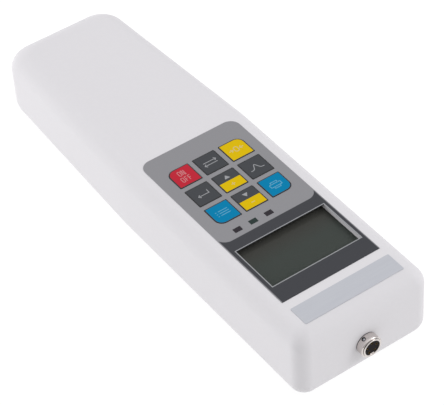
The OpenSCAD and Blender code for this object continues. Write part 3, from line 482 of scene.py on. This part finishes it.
# %% Casing rows
EDGE_ROLL = 8.0  # radius of the rolled edge
HANDLE_DROP = 2.4  # how far the face falls to the handle's end
WALL, ROOF = 2.5, 3.0  # thickness of the wall and of the face
WALL_ROWS = np.array([shell_low[2], 12.7, 14.2, 18.9, 21.8])  # rows between which the socket openings lie
SHOULDER = 0.4  # one more row, this far under the roll, keeps the wall flat
ROLL_STEPS, APRON_STEPS, FACE_STEPS = 18, 6, 20  # rows over the roll, to the apron and on to the seat
INSIDE_STEP = 3  # the inner roll takes every third of the outer one's rows
FIRST_ROW = 0.05  # share of the way to the apron of a first row that keeps the face flat beside the roll
HANDLE_MIDDLE = np.array([0.0, 60.0])  # about the middle of the handle's face
HANDLE_OUT = 100.0  # from here on the apron is drawn to that middle only, before the taper only to the seat
TO_SEAT, TO_MIDDLE = 0.4, 0.35  # how far it is drawn, as shares of the way
BEND = 0.06  # how softly the face bends down to the handle, as a share of the fall


def face_height(y):
    """Height of the face: level over the head, then a straight fall to the far corners. The bend between is
    eased with (u + sqrt(u * u + BEND * BEND)) / 2, where u runs from 0 to 1 along the fall."""
    u = (y - TAPER_FROM) / (REAR - CORNER_FAR - TAPER_FROM)
    return shell_high[2] - HANDLE_DROP * np.minimum((u + np.sqrt(u * u + BEND * BEND)) / 2, 1)


def rolled(inset, radius, below, angles):
    """Rows over a rolled edge: at angle a the outline is drawn in by inset + radius * (1 - cos a) and lies
    below + radius * (1 - sin a) under the face."""
    plan = casing_plan(inset + radius * (1 - np.cos(angles)))
    drop = below + radius * (1 - np.sin(angles))
    return raised(plan, face_height(plan[..., 1]) - drop[:, None])


print("height of the face at both ends", np.round(face_height(np.array([FRONT, REAR])), 2), "mm")

# %% [markdown]
# The steps in the face are rectangles with round corners: the overlay's seat, a trench under the keypad layers,
# a lip round the display opening, the opening itself, and a pocket that takes the pane from inside.

# %% Seat, trench and opening
seat = film_low[2]
window_low, window_high = box_mm("display_window")
OPEN = (-22.1, 22.5, -85.45, -56.65)  # display opening in the casing: left, right, near, far
SEAT_SLACK, PANE_SLACK = 0.04, 0.2  # room round the overlay in its seat and round the pane in its pocket
SEAT_NEAR, SEAT_FAR = 0.4, 5.1  # corner radii of the seat
LEDGE, LEDGE_FAR = 0.8, 4.3  # width of the ledge that carries the overlay's edge, and its far corners
LIP, OPEN_CORNER = 0.45, 0.3  # width of the lip round the opening, and corner radius of both
TRENCH = 34.2  # floor under the keypad layers


def grown(margin, near_r, far_r, sides):
    """A rectangle (left, right, near, far) made larger by a margin, in the casing's columns."""
    left, right_side, near, far = sides
    return window_plan(left - margin, right_side + margin, near - margin, far + margin, near_r, far_r)


film_sides = (film_low[0], film_high[0], film_low[1], film_high[1])
pane_sides = (window_low[0], window_high[0], window_low[1], window_high[1])
seat_edge = grown(SEAT_SLACK, SEAT_NEAR, SEAT_FAR, film_sides)
ledge = grown(-LEDGE, SEAT_NEAR, LEDGE_FAR, film_sides)
lip = grown(LIP, OPEN_CORNER, OPEN_CORNER, OPEN)
opening = grown(0, OPEN_CORNER, OPEN_CORNER, OPEN)
pocket = grown(PANE_SLACK, OPEN_CORNER, OPEN_CORNER, pane_sides)
steps = [raised(seat_edge, seat), raised(ledge, seat), raised(ledge, TRENCH), raised(lip, TRENCH),
         raised(lip, seat), raised(opening, seat), raised(opening, window_high[2]), raised(pocket, window_high[2]),
         raised(pocket, shell_high[2] - ROOF)]
print("steps in the face", len(steps), "rows")

# %% The whole grid
climb = np.radians(np.linspace(0, 90, ROLL_STEPS + 1))
outer = raised(casing_plan(0 * WALL_ROWS), WALL_ROWS[:, None])
outline = casing_plan(0)
shoulder = raised(outline, face_height(outline[..., 1]) - EDGE_ROLL - SHOULDER)
edge = rolled(0, EDGE_ROLL, 0, climb)
rim = edge[-1:, :, :2]
on_handle = np.clip((rim[..., 1:] - TAPER_FROM) / (HANDLE_OUT - TAPER_FROM), 0, 1)
apron = rim + TO_SEAT * (1 - on_handle) * (seat_edge - rim) + TO_MIDDLE * on_handle * (HANDLE_MIDDLE - rim)
out = np.concatenate([[FIRST_ROW], np.linspace(0, 1, APRON_STEPS + 1)[1:]])[:, None, None]
onward = np.linspace(0, 1, FACE_STEPS + 1)[1:, None, None]
face = np.concatenate([rim * (1 - out) + apron * out, apron * (1 - onward) + seat_edge * onward])
face = raised(face, face_height(face[..., 1]))
inside = rolled(WALL, EDGE_ROLL - WALL, ROOF, climb[::-INSIDE_STEP])
inner = raised(casing_plan(WALL + 0 * WALL_ROWS), WALL_ROWS[::-1, None])
casing = np.concatenate([outer, shoulder, edge, face, *steps, inside, inner])
print("casing grid", casing.shape[:2], "rows and columns")

# %% [markdown]
# The sockets pass through the end walls. Cells of the grid are left out there in the outer skin and in the
# inner one, and a short tunnel joins the two edges, so the casing stays one closed solid.

# %% Casing piece
points, faces = skin(casing, around=True, along=True)
rows, columns = casing.shape[:2]
number = np.arange(rows * columns).reshape(rows, columns)
far_cell = columns // 2 - len(FAR_END) + 1  # where the far end's own columns begin
OPENINGS = [  # first and last row of each opening, and its columns
    ((1, 3), (columns - 1, 0, 1)),
    ((2, 4), (far_cell, far_cell + 1)),
    ((2, 4), (columns - far_cell - 1, columns - far_cell)),
]
kept = np.ones((rows, columns), bool)
tunnels = []
for (bottom, top), wide in OPENINGS:
    kept[bottom:top, list(wide[:-1])] = False
    kept[rows - 1 - top:rows - 1 - bottom, list(wide[:-1])] = False
    upward = list(range(bottom, top + 1))
    loop = np.array([(bottom, c) for c in wide] + [(r, wide[-1]) for r in upward[1:]]
                    + [(top, c) for c in wide[-2::-1]] + [(r, wide[0]) for r in upward[-2:0:-1]])
    out_loop, in_loop = number[loop[:, 0], loop[:, 1]], number[rows - 1 - loop[:, 0], loop[:, 1]]
    tunnels += np.stack([out_loop, np.roll(out_loop, -1), np.roll(in_loop, -1), in_loop], axis=-1).tolist()
faces = [f for f, k in zip(faces, kept.ravel().tolist()) if k] + tunnels
front_casing = place("casing_front", (points, faces), "housing", [powder_coat], ["front_housing"])
print("front casing", len(front_casing.data.polygons), "faces")

# %% [markdown]
# ## The back cover
# The cover's holes for screws and inserts don't follow a simple grid, and its solid is already right, so its
# triangles are copied, merged and shaded smooth. The weighted normals keep its flats flat beside its rolls.

# %% Back cover piece


def node_shape(name):
    """A node's triangles as (points in millimetres, faces)."""
    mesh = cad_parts[name].data
    spots, corners = np.empty(3 * len(mesh.vertices)), np.empty(len(mesh.loops), np.int32)
    mesh.vertices.foreach_get("co", spots)
    mesh.loops.foreach_get("vertex_index", corners)
    return spots.reshape(-1, 3) / MM, corners.reshape(-1, 3).tolist()


back_cover = place("casing_back", node_shape("back_cover"), "housing", [powder_coat], ["back_cover"])
back_cover.modifiers.new("flat_faces", "WEIGHTED_NORMAL").keep_sharp = True
print("back cover", len(back_cover.data.polygons), "faces")

# %% [markdown]
# ## The keys
# Each key is a pad of embossed film with a soft edge and a printed black border, standing a hair above the
# overlay. A pad is a stack of outlines: rectangles with round corners, drawn in step by step. The corner keys
# have one large corner each, towards the keypad's own corner, so each corner has its own radius.

# %% Key pads
FLANGE, FLANGE_THICK = 0.5, 0.3  # width and thickness of the hidden rim under the overlay
key_low, key_high = box_mm("key_up")
PAD = (key_high - key_low)[:2] / 2 - FLANGE  # half sizes of a pad
PAD_CORNER, PAD_OUTER = 0.5, 3.6  # usual corner, and a corner key's outer one
SHARPEST = 0.05  # least radius of a corner that is drawn in
PAD_EDGE = 0.12  # roll of the pad's edge
PAD_TOP = 36.30  # height of the pads at rest
BORDER = 0.38  # width of the printed border
WITHIN = 0.4  # one more outline, this far inside the border, keeps the top flat
KEY_PLACE = {  # column and row on the keypad, and colour
    "power": (-1, 1, "red"), "mode": (0, 1, "dark"), "zero": (1, 1, "yellow"),
    "set": (-1, 0, "dark"), "up": (0, 0, "dark"), "peak": (1, 0, "dark"),
    "memory": (-1, -1, "blue"), "down": (0, -1, "dark"), "print": (1, -1, "blue"),
}


def pad_outline(half, radii, margin, steps=8):
    """A rectangle of half sizes `half`, made larger by `margin`, anticlockwise from its lower right corner.
    Corner k has radius radii[k] + margin: its points are centre + radius * (cos a, sin a) over a quarter turn."""
    radius = np.maximum(np.asarray(radii, float) + margin, SHARPEST)[:, None]
    sign = np.array([[1, -1], [1, 1], [-1, 1], [-1, -1]])
    centre = sign * (np.asarray(half) + margin - radius)
    angle = np.radians(np.linspace(0, 90, steps + 1)) + np.radians([[-90], [0], [90], [180]])
    loop = np.stack([centre[:, :1] + radius * np.cos(angle), centre[:, 1:] + radius * np.sin(angle)], axis=-1)
    return loop.reshape(-1, 2)


def at_height(outline, height):
    """An outline (n, 2) as points at one height."""
    return np.column_stack([outline, np.full(len(outline), height)])


def stack(half, radii, steps, middle):
    """Outlines one above the other as a grid: each step is (margin, height)."""
    return np.stack([at_height(pad_outline(half, radii, margin) + middle, height) for margin, height in steps])


roll = np.radians([0, 30, 60, 90])
flange_top = key_low[2] + FLANGE_THICK
pad_steps = [(FLANGE, key_low[2]), (FLANGE, flange_top), (0, flange_top)]
pad_steps += [(-PAD_EDGE * (1 - math.cos(a)), PAD_TOP - PAD_EDGE * (1 - math.sin(a))) for a in roll]
pad_steps += [(-BORDER, PAD_TOP), (-BORDER - WITHIN, PAD_TOP)]
OUTER_CORNER = {(1, -1): 0, (1, 1): 1, (-1, 1): 2, (-1, -1): 3}  # a corner key's large corner, by column and row
key_middle = {}
for name, (column, row, colour) in KEY_PLACE.items():
    low, high = box_mm("key_" + name)
    key_middle[name] = (low + high)[:2] / 2
    large = OUTER_CORNER.get((column, row))
    radii = [PAD_OUTER if corner == large else PAD_CORNER for corner in range(4)]
    grid = stack(PAD, radii, pad_steps, key_middle[name])
    shape = skin(grid, around=True, caps=True)
    border_faces = (len(pad_steps) - 2) * grid.shape[1]
    bands = [1] * border_faces + [0] * (len(shape[1]) - border_faces)
    place("pad_" + name, shape, "key_" + name, [key_film[colour], black_ink_and_painted_shade], ["key_" + name],
          bands)
print("pads", len(key_middle), "of", np.round(2 * PAD, 2), "mm")

# %% [markdown]
# ## Marks on the keys
# Marks are screen ink, a few hundredths thick. Each is a flat band carried along a path, with its corners
# mitred: at a bend the band's edges lie along the line that halves the angle, a little further out than half
# its width. Signs stand for what each key does, so they read in any language.

# %% Bands of ink
INK = 0.02  # thickness of a layer of ink
STROKE = 0.38  # width of a sign's stroke


def ribbon(path, low, width=STROKE, closed=False, thick=INK):
    """A flat band along a path (n, 2): at each point the sides lie half a width out along the mitre, which is
    the sum of the two runs' normals, divided by its share along one of them. Returns (points, faces)."""
    path = np.asarray(path, float)
    ahead = np.roll(path, -1, axis=0) - path
    ahead = ahead / np.linalg.norm(ahead, axis=1, keepdims=True)
    if not closed:
        ahead[-1] = ahead[-2]
    behind = np.roll(ahead, 1, axis=0)
    if not closed:
        behind[0] = ahead[0]
    normal = np.column_stack([-ahead[:, 1], ahead[:, 0]])
    mitre = normal + np.column_stack([-behind[:, 1], behind[:, 0]])
    out = mitre * (width / 2 / (mitre * normal).sum(axis=1, keepdims=True))
    sides = np.stack([path - out, path + out, path + out, path - out], axis=1)
    heights = np.broadcast_to(np.array([low, low, low + thick, low + thick])[:, None], (len(path), 4, 1))
    return skin(np.concatenate([sides, heights], axis=-1), around=True, along=closed, caps=not closed)


def plate(outline, low):
    """A flat layer of ink inside an outline (n, 2)."""
    return skin(np.stack([at_height(outline, low), at_height(outline, low + INK)]), around=True, caps=True)


def oval(half_wide, half_high, corner):
    """A closed letter form: a rectangle with round corners."""
    return pad_outline((half_wide, half_high), [corner] * 4, 0, steps=4)


# %% [markdown]
# The signs are drawn about the middle of their keys, in millimetres: the switch says ON and OFF in narrow
# letters, and the others have arrows, a nought between arrows, a return arrow, a curve with a peak, a list, a
# printer, a plus and a minus. The N has blunt corners, because a mitre at so sharp a bend would run out into a spike.

# %% Signs
CAP = 1.4  # half the height of a letter
o_form = oval(0.58, CAP, 0.5)
n_form = [(-0.6, -CAP), (-0.6, CAP), (-0.2, CAP), (0.2, -CAP), (0.6, -CAP), (0.6, CAP)]
f_stem, f_bar = [(-0.45, -CAP), (-0.45, CAP), (0.6, CAP)], [(-0.2, 0.1), (0.45, 0.1)]
arrow_head = np.array([(-0.9, 0.9), (0.0, 0.0), (-0.9, -0.9)])
swing = np.linspace(-3.4, 3.4, 25)
peak_curve = np.column_stack([swing, 3.0 * np.exp(-(swing / 1.1) ** 2) - 1.6])


def shifted(path, x, y):
    """A path moved by x and y."""
    return np.asarray(path, float) + [x, y]


# Each sign is a list of (path, closed) bands about its key's middle.
SIGNS = {
    "power": [(shifted(o_form, -0.95, 2.1), True), (shifted(n_form, 0.85, 2.1), False),
              (shifted(o_form, -1.8, -1.9), True), (shifted(f_stem, 0.0, -1.9), False),
              (shifted(f_bar, 0.0, -1.9), False), (shifted(f_stem, 1.65, -1.9), False),
              (shifted(f_bar, 1.65, -1.9), False)],
    "mode": [([(-3.1, 0.9), (2.9, 0.9)], False), (shifted(arrow_head, 3.3, 0.9), False),
             ([(3.1, -0.9), (-2.9, -0.9)], False), (shifted(arrow_head * [-1, 1], -3.3, -0.9), False)],
    "zero": [(oval(0.95, 1.5, 0.85), True), ([(-3.6, 0), (-2.2, 0)], False), (shifted(arrow_head, -1.7, 0), False),
             ([(3.6, 0), (2.2, 0)], False), (shifted(arrow_head * [-1, 1], 1.7, 0), False)],
    "set": [([(2.5, 1.5), (2.5, -0.6), (-2.2, -0.6)], False), (shifted(arrow_head * [-1, 1], -2.7, -0.6), False)],
    "peak": [(peak_curve, False)],
    "memory": [([(-1.6, y), (3.0, y)], False) for y in (1.3, 0.0, -1.3)]
              + [([(-3.0, y), (-2.4, y)], False) for y in (1.3, 0.0, -1.3)],
    "print": [([(-1.6, 0.7), (-1.6, 1.8), (1.6, 1.8), (1.6, 0.7)], False),
              (shifted(oval(2.7, 0.9, 0.2), 0, -0.2), True),
              ([(-1.4, -1.2), (-1.4, -2.1), (1.4, -2.1), (1.4, -1.2)], False)],
    "up": [([(-0.9, -2.7), (0.9, -2.7)], False), ([(0, -1.8), (0, -2.4)], False), ([(0, -3.0), (0, -3.6)], False)],
    "down": [([(-0.9, -2.7), (0.9, -2.7)], False)],
}
print("signs drawn", len(SIGNS))

# %% [markdown]
# The up and down keys are printed in two colours: the near half yellow, with the sign on it, and the far half
# dark like the pad, with an arrow. So on these two the sign is a second layer of ink, on top of the yellow one.

# %% Signs, arrows and yellow halves
TWO_COLOUR = {"up": 1, "down": -1}  # the two-colour keys, and the way of their arrows
ARROW_AT = 2.5  # the arrow's distance from the middle of its key
HALF_CORNER = 0.15  # corner radius of a yellow half
triangle = np.array([(-1.35, -1.1), (1.35, -1.1), (0, 1.1)])
half_deep = (PAD[1] - BORDER) / 2
half_plate = shifted(pad_outline((PAD[0] - BORDER, half_deep), [HALF_CORNER] * 4, 0), 0, -half_deep)
for name, bands in SIGNS.items():
    low = PAD_TOP + (INK if name in TWO_COLOUR else 0)
    ground = "yellow" if name in TWO_COLOUR else KEY_PLACE[name][2]
    strokes = [ribbon(shifted(path, *key_middle[name]), low, closed=closed) for path, closed in bands]
    place("sign_" + name, join(*strokes), "key_" + name, [sign_ink[ground]])
for name, way in TWO_COLOUR.items():
    arrow = shifted(triangle[::way] * [1, way], 0, ARROW_AT)
    place("arrow_" + name, plate(shifted(arrow, *key_middle[name]), PAD_TOP), "key_" + name,
          [sign_ink["dark"]])
    place("half_" + name, plate(shifted(half_plate, *key_middle[name]), PAD_TOP), "key_" + name,
          [key_film["yellow"]])
print("signs placed", len(SIGNS), "with", len(TWO_COLOUR), "yellow halves")

# %% [markdown]
# ## The line round the display
# A thin pale line is printed on the overlay along its opening. It is a band of ink like the signs, carried
# round the opening with its four corners mitred.

# %% Display line
LINE = 0.41  # width of the line
VIEW = np.array([-22.1, 22.5, -83.5, -58.6])  # overlay opening: left, right, near, far
half_line = LINE / 2
round_view = [(VIEW[0] - half_line, VIEW[2] - half_line), (VIEW[1] + half_line, VIEW[2] - half_line),
              (VIEW[1] + half_line, VIEW[3] + half_line), (VIEW[0] - half_line, VIEW[3] + half_line)]
place("display_line", ribbon(round_view, film_high[2], LINE, closed=True), "housing", [sign_ink["dark"]])
print("display opening", np.round([VIEW[1] - VIEW[0], VIEW[3] - VIEW[2]], 2), "mm")

# %% [markdown]
# ## The display window
# The pane is bonded to the display glass under it, so only its upper face mirrors the room. A plate with a
# small rolled edge does it: outlines drawn in step by step, as for the keys, with the lowest one just inside
# the glass so that no air shows between them.

# %% Window pane
PANE_EDGE, PANE_CORNER = 0.15, 0.5  # roll of the pane's edge, and radius of its corners
BOND = 0.03  # how far the pane's underside lies in the glass
pane_half, pane_middle = (window_high - window_low)[:2] / 2, (window_high + window_low)[:2] / 2
pane_steps = [(0, window_low[2] - BOND)]
pane_steps += [(-PANE_EDGE * (1 - math.cos(a)), window_high[2] - PANE_EDGE * (1 - math.sin(a))) for a in roll]
pane = skin(stack(pane_half, [PANE_CORNER] * 4, pane_steps, pane_middle), around=True, caps=True)
place("window_pane", pane, "housing", [smoked_pc], ["display_window"])
print("pane", np.round(2 * pane_half, 2), "mm")

# %% [markdown]
# ## The sensor socket
# The socket's barrel is turned on a lathe, and what a lathe makes is a profile carried round an axis: each row
# of the grid is one radius and one distance in front of the casing, each column one turn about the axis. Its
# root has a groove, and its front runs down a small cone to a second groove and a thin ring with a lip. The
# grooves catch the shade. For the locking screw a block of cells is left out. The edge of that block is drawn
# onto a circle, and the circle is carried inwards, which gives a clean round hole.

# %% Turned barrel
SOCKET_UP = 15.8  # height of the socket's axis above the back
BARREL, BORE, NECK = 5.0, 3.8, 4.4  # radii outside, inside, and in the wall
ROOT, GROOVE, RING, LIP_BORE = 4.9, 4.3, 4.35, 3.6  # radii in the two grooves, of the ring and within its lip
BARREL_OUT, NECK_IN = 4.2, 9.0  # reach in front of the casing and behind its face
LOCK_TURN, LOCK_OUT, LOCK_HOLE = math.radians(118), 1.45, 0.95  # the hole's turn, place along the barrel, radius
TURNS, BLOCK = 120, 8  # columns round the axis, and cells left out each way for the hole
CELL = 2 * math.pi / TURNS * BARREL  # width of a cell on the barrel


def round_socket(radius, turn, out):
    """Points about the socket's axis: x = r cos t, z = r sin t above the axis, y = `out` in front of the casing."""
    radius, turn, out = np.broadcast_arrays(np.asarray(radius, float), turn, out)
    return np.stack([radius * np.cos(turn), FRONT - out, SOCKET_UP + radius * np.sin(turn)], axis=-1)


hole_rows = LOCK_OUT + CELL * (np.arange(BLOCK + 1) - BLOCK / 2)
before = [  # radius and reach, from the bore's inner end out to the rows of the hole
    (BORE, -NECK_IN), (NECK, -NECK_IN), (NECK, 0.0), (ROOT, 0.01), (ROOT, 0.33), (BARREL - 0.05, 0.35),
    (BARREL, 0.39),
]
after = [  # from there over the cone, the groove, the ring and its lip, back into the bore
    (BARREL, 3.4), (BARREL - 0.05, 3.55), (BARREL - 0.2, 3.72), (GROOVE + 0.15, 3.76), (GROOVE, 3.9), (RING, 3.96),
    (RING, 4.1), (RING - 0.1, BARREL_OUT), (BORE, BARREL_OUT), (LIP_BORE + 0.05, BARREL_OUT - 0.06),
    (LIP_BORE, BARREL_OUT - 0.2), (LIP_BORE, BARREL_OUT - 0.5), (BORE, BARREL_OUT - 0.55),
]
profile = np.array(before + [(BARREL, out) for out in hole_rows] + after)
turns = LOCK_TURN + (np.arange(TURNS) - BLOCK / 2) * 2 * math.pi / TURNS
barrel = round_socket(profile[:, :1], turns, profile[:, 1:])
points, faces = skin(barrel, around=True, along=True)
first = len(before)
kept = np.ones((len(profile), TURNS), bool)
kept[first:first + BLOCK, :BLOCK] = False
faces = [f for f, k in zip(faces, kept.ravel().tolist()) if k]
print("barrel profile", len(profile), "rows")

# %% [markdown]
# The hole's rim is numbered round the block. Each point keeps its direction from the hole's middle and takes
# the hole's radius, so the rim becomes a circle without a new point.

# %% Hole for the locking screw
side = np.arange(BLOCK)
rim_row = np.concatenate([0 * side, side, BLOCK + 0 * side, BLOCK - side])
rim_column = np.concatenate([side, BLOCK + 0 * side, BLOCK - side, 0 * side])
spread = np.column_stack([rim_column, rim_row]) - BLOCK / 2
spread = spread / np.linalg.norm(spread, axis=1, keepdims=True) * LOCK_HOLE
WELL = np.array([[BARREL], [BARREL - 0.05], [BARREL - 0.35]])  # distances from the axis, down into the hole
well = round_socket(WELL, LOCK_TURN + spread[:, 0] / BARREL, LOCK_OUT + spread[:, 1])
well_points, well_faces = skin(well, around=True)
start = len(points)
edge_numbers = (first + rim_row) * TURNS + rim_column
circle = np.arange(len(rim_row)) + start
collar = np.stack([edge_numbers, np.roll(edge_numbers, -1), np.roll(circle, -1), circle], axis=-1).tolist()
well_faces = [[corner + start for corner in face] for face in well_faces]
floor_face = (circle + (len(WELL) - 1) * len(rim_row)).tolist()
shell = (np.concatenate([points, well_points]), faces + collar + well_faces + [floor_face])
print("hole of", len(rim_row), "sides")

# %% [markdown]
# A rib along the bore's floor keys the plug. The faces in the grooves and in the hole take the black finish: a
# painted shade, darker than the shade that the shallow grooves and the small hole give by themselves.

# %% Rib and barrel piece
RIB_HALF, RIB_HIGH, RIB_SUNK = 1.0, 0.9, 0.1  # the rib's half width, height, and depth in the barrel's wall
RIB_FROM, RIB_TO = 0.1, BARREL_OUT - 0.3  # its ends, in front of the casing
rib_loop = np.array([(-RIB_HALF, -RIB_SUNK), (RIB_HALF, -RIB_SUNK), (RIB_HALF, RIB_HIGH), (-RIB_HALF, RIB_HIGH)])
rib = np.stack([np.column_stack([rib_loop[:, 0], np.full(4, FRONT - out), SOCKET_UP - BORE + rib_loop[:, 1]])
                for out in (RIB_FROM, RIB_TO)])
rib_shape = skin(rib, around=True, caps=True)
# Rows of the profile in the two grooves: their faces are painted black as shade.
PAINTED_SHADE_ROWS = [before.index((ROOT, 0.01)), first + len(hole_rows) + after.index((GROOVE + 0.15, 3.76))]
row_of_face = np.repeat(np.arange(len(profile)), TURNS)[kept.ravel()]
bands = np.isin(row_of_face, PAINTED_SHADE_ROWS).astype(int).tolist()
# The hole's wall and floor take the black too, as painted shade.
bands += [0] * len(collar) + [1] * (len(well_faces) + 1) + [0] * len(rib_shape[1])
barrel_piece = place("socket_barrel", join(shell, rib_shape), "housing", [nickel, black_ink_and_painted_shade],
                     ["socket_shell"], bands)
print("barrel", len(barrel_piece.data.polygons), "faces")

# %% [markdown]
# The locking screw is a small domed pin in that hole, and the contacts are split tubes that take the plug's
# pins. Both are turned parts again, so both are profiles carried round their own axes.

# %% Locking screw and contacts


def turned(profile, axis_points, one_way, other_way, steps=24):
    """A profile of (radius, place along the axis) carried round an axis: point = axis(place) + radius *
    (cos a * one_way + sin a * other_way). A radius of nought at either end closes the form in a pole."""
    profile = np.asarray(profile, float)
    angle = np.linspace(0, 2 * math.pi, steps, endpoint=False)
    wheel = np.cos(angle)[:, None] * one_way + np.sin(angle)[:, None] * other_way
    return skin(axis_points(profile[:, 1])[:, None] + profile[:, :1, None] * wheel, around=True)


across, along, upwards = np.eye(3)  # the frame's own directions
radial = np.array([math.cos(LOCK_TURN), 0.0, math.sin(LOCK_TURN)])
tangent = np.array([-math.sin(LOCK_TURN), 0.0, math.cos(LOCK_TURN)])
lock_foot = np.array([0.0, FRONT - LOCK_OUT, SOCKET_UP])
PIN = 0.5  # radius of the pin
lock_profile = [(0, 3.95), (PIN, 3.95), (PIN, 4.78), (PIN - 0.1, 4.88), (PIN - 0.3, 4.94), (0, 4.95)]
lock = turned(lock_profile, lambda h: lock_foot + h[:, None] * radial, tangent, along)
place("socket_pin", lock, "housing", [SLOT_FINISH["zinc_screw"]], ["socket_lock_screw"])

CONTACTS, CONTACT_RING = 5, 2.4  # how many, and the radius of the ring that they stand on
TUBE, TUBE_BORE, TUBE_DEEP, TUBE_STEPS = 0.5, 0.32, 2.5, 20  # radii outside and inside, depth, columns round it
contact_low, contact_high = box_mm("socket_contacts")
tip, heel = FRONT - contact_low[1], FRONT - contact_high[1]
tube_profile = [(0, heel), (TUBE, heel), (TUBE, tip - 0.1), (TUBE - 0.06, tip), (TUBE_BORE + 0.04, tip),
                (TUBE_BORE, tip - 0.05), (TUBE_BORE, tip - TUBE_DEEP), (0, tip - TUBE_DEEP - 0.1)]
tubes = []
for contact in range(CONTACTS):
    bearing = 2 * math.pi * (contact + 0.5) / CONTACTS - math.pi / 2
    middle = np.array([CONTACT_RING * math.cos(bearing), 0.0, SOCKET_UP + CONTACT_RING * math.sin(bearing)])
    tubes.append(turned(tube_profile, lambda out, m=middle: m + (FRONT - out)[:, None] * along,
                        across, upwards, TUBE_STEPS))
place("socket_tubes", join(*tubes), "housing", [SLOT_FINISH["gold_contact"]], ["socket_contacts"])
print("contacts", CONTACTS)

# %% [markdown]
# ## Snap domes
# Under each key lies a shallow cap of spring steel that gives way with a click and pushes the key back. It could
# be cut from a sphere. As a turned part it is one closed profile: an arc over the outside of the sheet and an arc
# back along its inside. A dome rests on the circuit film and can't follow its key, so it rides on the housing.

# %% Snap domes
DOME_SHEET = 0.08  # thickness of the steel
ARC_STEPS, DOME_STEPS = 12, 32  # rows over a dome, and columns round it


def dome_profile(reach, rise):
    """Radius and height over the outside of a cap and back along its inside. The cap's sphere has the radius
    s = (reach * reach + rise * rise) / (2 * rise). Outside: (s sin a, rise - s (1 - cos a)). Inside: the same
    centre with s less the sheet, from where that arc meets the foot."""
    sphere = (reach * reach + rise * rise) / (2 * rise)
    within = sphere - DOME_SHEET
    over = np.linspace(0, math.asin(reach / sphere), ARC_STEPS + 1)
    back = np.linspace(math.acos((sphere - rise) / within), 0, ARC_STEPS + 1)
    outside = np.column_stack([sphere * np.sin(over), rise - sphere * (1 - np.cos(over))])
    return np.concatenate([outside, np.column_stack([within * np.sin(back), rise - sphere + within * np.cos(back)])])


for name in KEY_PLACE:
    low, high = box_mm("dome_" + name)
    foot = np.array([*(low + high)[:2] / 2, low[2]])
    cap = dome_profile((high - low)[:2].max() / 2, high[2] - low[2])
    shape = turned(cap, lambda h, f=foot: f + h[:, None] * upwards, across, along, DOME_STEPS)
    dome = place("snap_" + name, shape, "housing", [SLOT_FINISH["dome_steel"]], ["dome_" + name])
    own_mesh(dome)
print("domes", len(KEY_PLACE), "of", len(dome.data.polygons), "faces")

# %% [markdown]
# ## Floor and light
# The gauge is shown in a light tent: a pale floor, white walls all round, and two soft boxes. A low one stands at
# the far left and a high one at the right, in front, so that the near left corner between them falls into a soft
# shade. The floor is a sheet of opal glass lit from below: it gives off most of its light itself, so it stays
# pale close to the gauge too.

# %% Floor
FLOOR = 40.0  # size of the floor, m
FLOOR_GAP = 0.05  # how far it lies under the gauge, mm
OWN_LIGHT = 0.82  # light that the floor gives off itself
floor_sign = np.array([[-1, -1, 0], [1, -1, 0], [1, 1, 0], [-1, 1, 0]])
floor_mesh = bpy.data.meshes.new("floor")
floor_mesh.from_pydata((floor_sign * FLOOR / 2 - [0, 0, FLOOR_GAP * MM]).tolist(), [], [(0, 1, 2, 3)])
floor = bpy.data.objects.new("floor", floor_mesh)
bpy.context.scene.collection.objects.link(floor)
# Opal glass, ground matt and lit from below: an even pale field with hardly a reflection.
opal_glass = mottled("opal_glass_lit", ("#7C7C7C", "#808080"), patch=40.0, gloss=(0.7, 0.8),
                     Emission_Strength=OWN_LIGHT, Emission_Color=linear("#FFFFFF"))[0]
floor_mesh.materials.append(opal_glass)
print("floor", FLOOR, "m wide")

# %% Light tent
HORIZON, ZENITH = 0.43, 1.14  # brightness of the tent's walls and of its roof
OPEN_SIDE = (-0.54, -0.84, 0.0)  # the tent's open side lets in less light
DIM_FROM, DIMMEST = 0.3, 0.6  # how far round it begins to, and the share that is left at its middle
world = bpy.data.worlds.new("light_tent")
bpy.context.scene.world = world
world.use_nodes = True
sky = world.node_tree
way = add(sky, "TexCoord", {})
steepness = add(sky, "SeparateXYZ", {0: way.outputs["Generated"]})
wall_light = add(sky, "MapRange", {"Value": steepness.outputs["Z"], "To Min": HORIZON, "To Max": ZENITH})
facing = add(sky, "VectorMath", {0: way.outputs["Generated"], 1: OPEN_SIDE}, operation="DOT_PRODUCT")
dimming = add(sky, "MapRange", {"Value": facing.outputs["Value"], "From Min": DIM_FROM, "To Min": 1.0,
                                "To Max": DIMMEST})
tent = add(sky, "Math", {0: wall_light.outputs[0], 1: dimming.outputs[0]}, operation="MULTIPLY")
sky.links.new(tent.outputs[0], sky.nodes["Background"].inputs["Strength"])
sky.nodes["Background"].inputs["Color"].default_value = linear("#F6F6F7")
print("tent from", HORIZON, "at the horizon to", ZENITH, "overhead")

# %% Soft boxes


def soft_box(name, position, energy, width, height):
    """An oblong soft box, in metres and watts, that faces the middle of the floor: its back points away from it."""
    lamp = bpy.data.lights.new(name, "AREA")
    lamp.shape, lamp.energy = "RECTANGLE", energy
    lamp.size, lamp.size_y = width, height
    away = position / np.linalg.norm(position)
    sideward = np.cross(upwards, away)
    sideward /= np.linalg.norm(sideward)
    axes = np.column_stack([sideward, np.cross(away, sideward), away, position])
    box = bpy.data.objects.new(name, lamp)
    bpy.context.scene.collection.objects.link(box)
    box.matrix_world = Matrix(axes.tolist() + [[0, 0, 0, 1]])


soft_box("soft_box_left", np.array([-0.7, 0.85, 0.22]), energy=4.75, width=0.7, height=0.44)
soft_box("soft_box_right", np.array([1.0, -0.85, 1.0]), energy=7.4, width=0.9, height=0.9)
bpy.context.scene.view_settings.view_transform = "Standard"
bpy.context.scene.view_settings.look = "None"
print("stage ready")
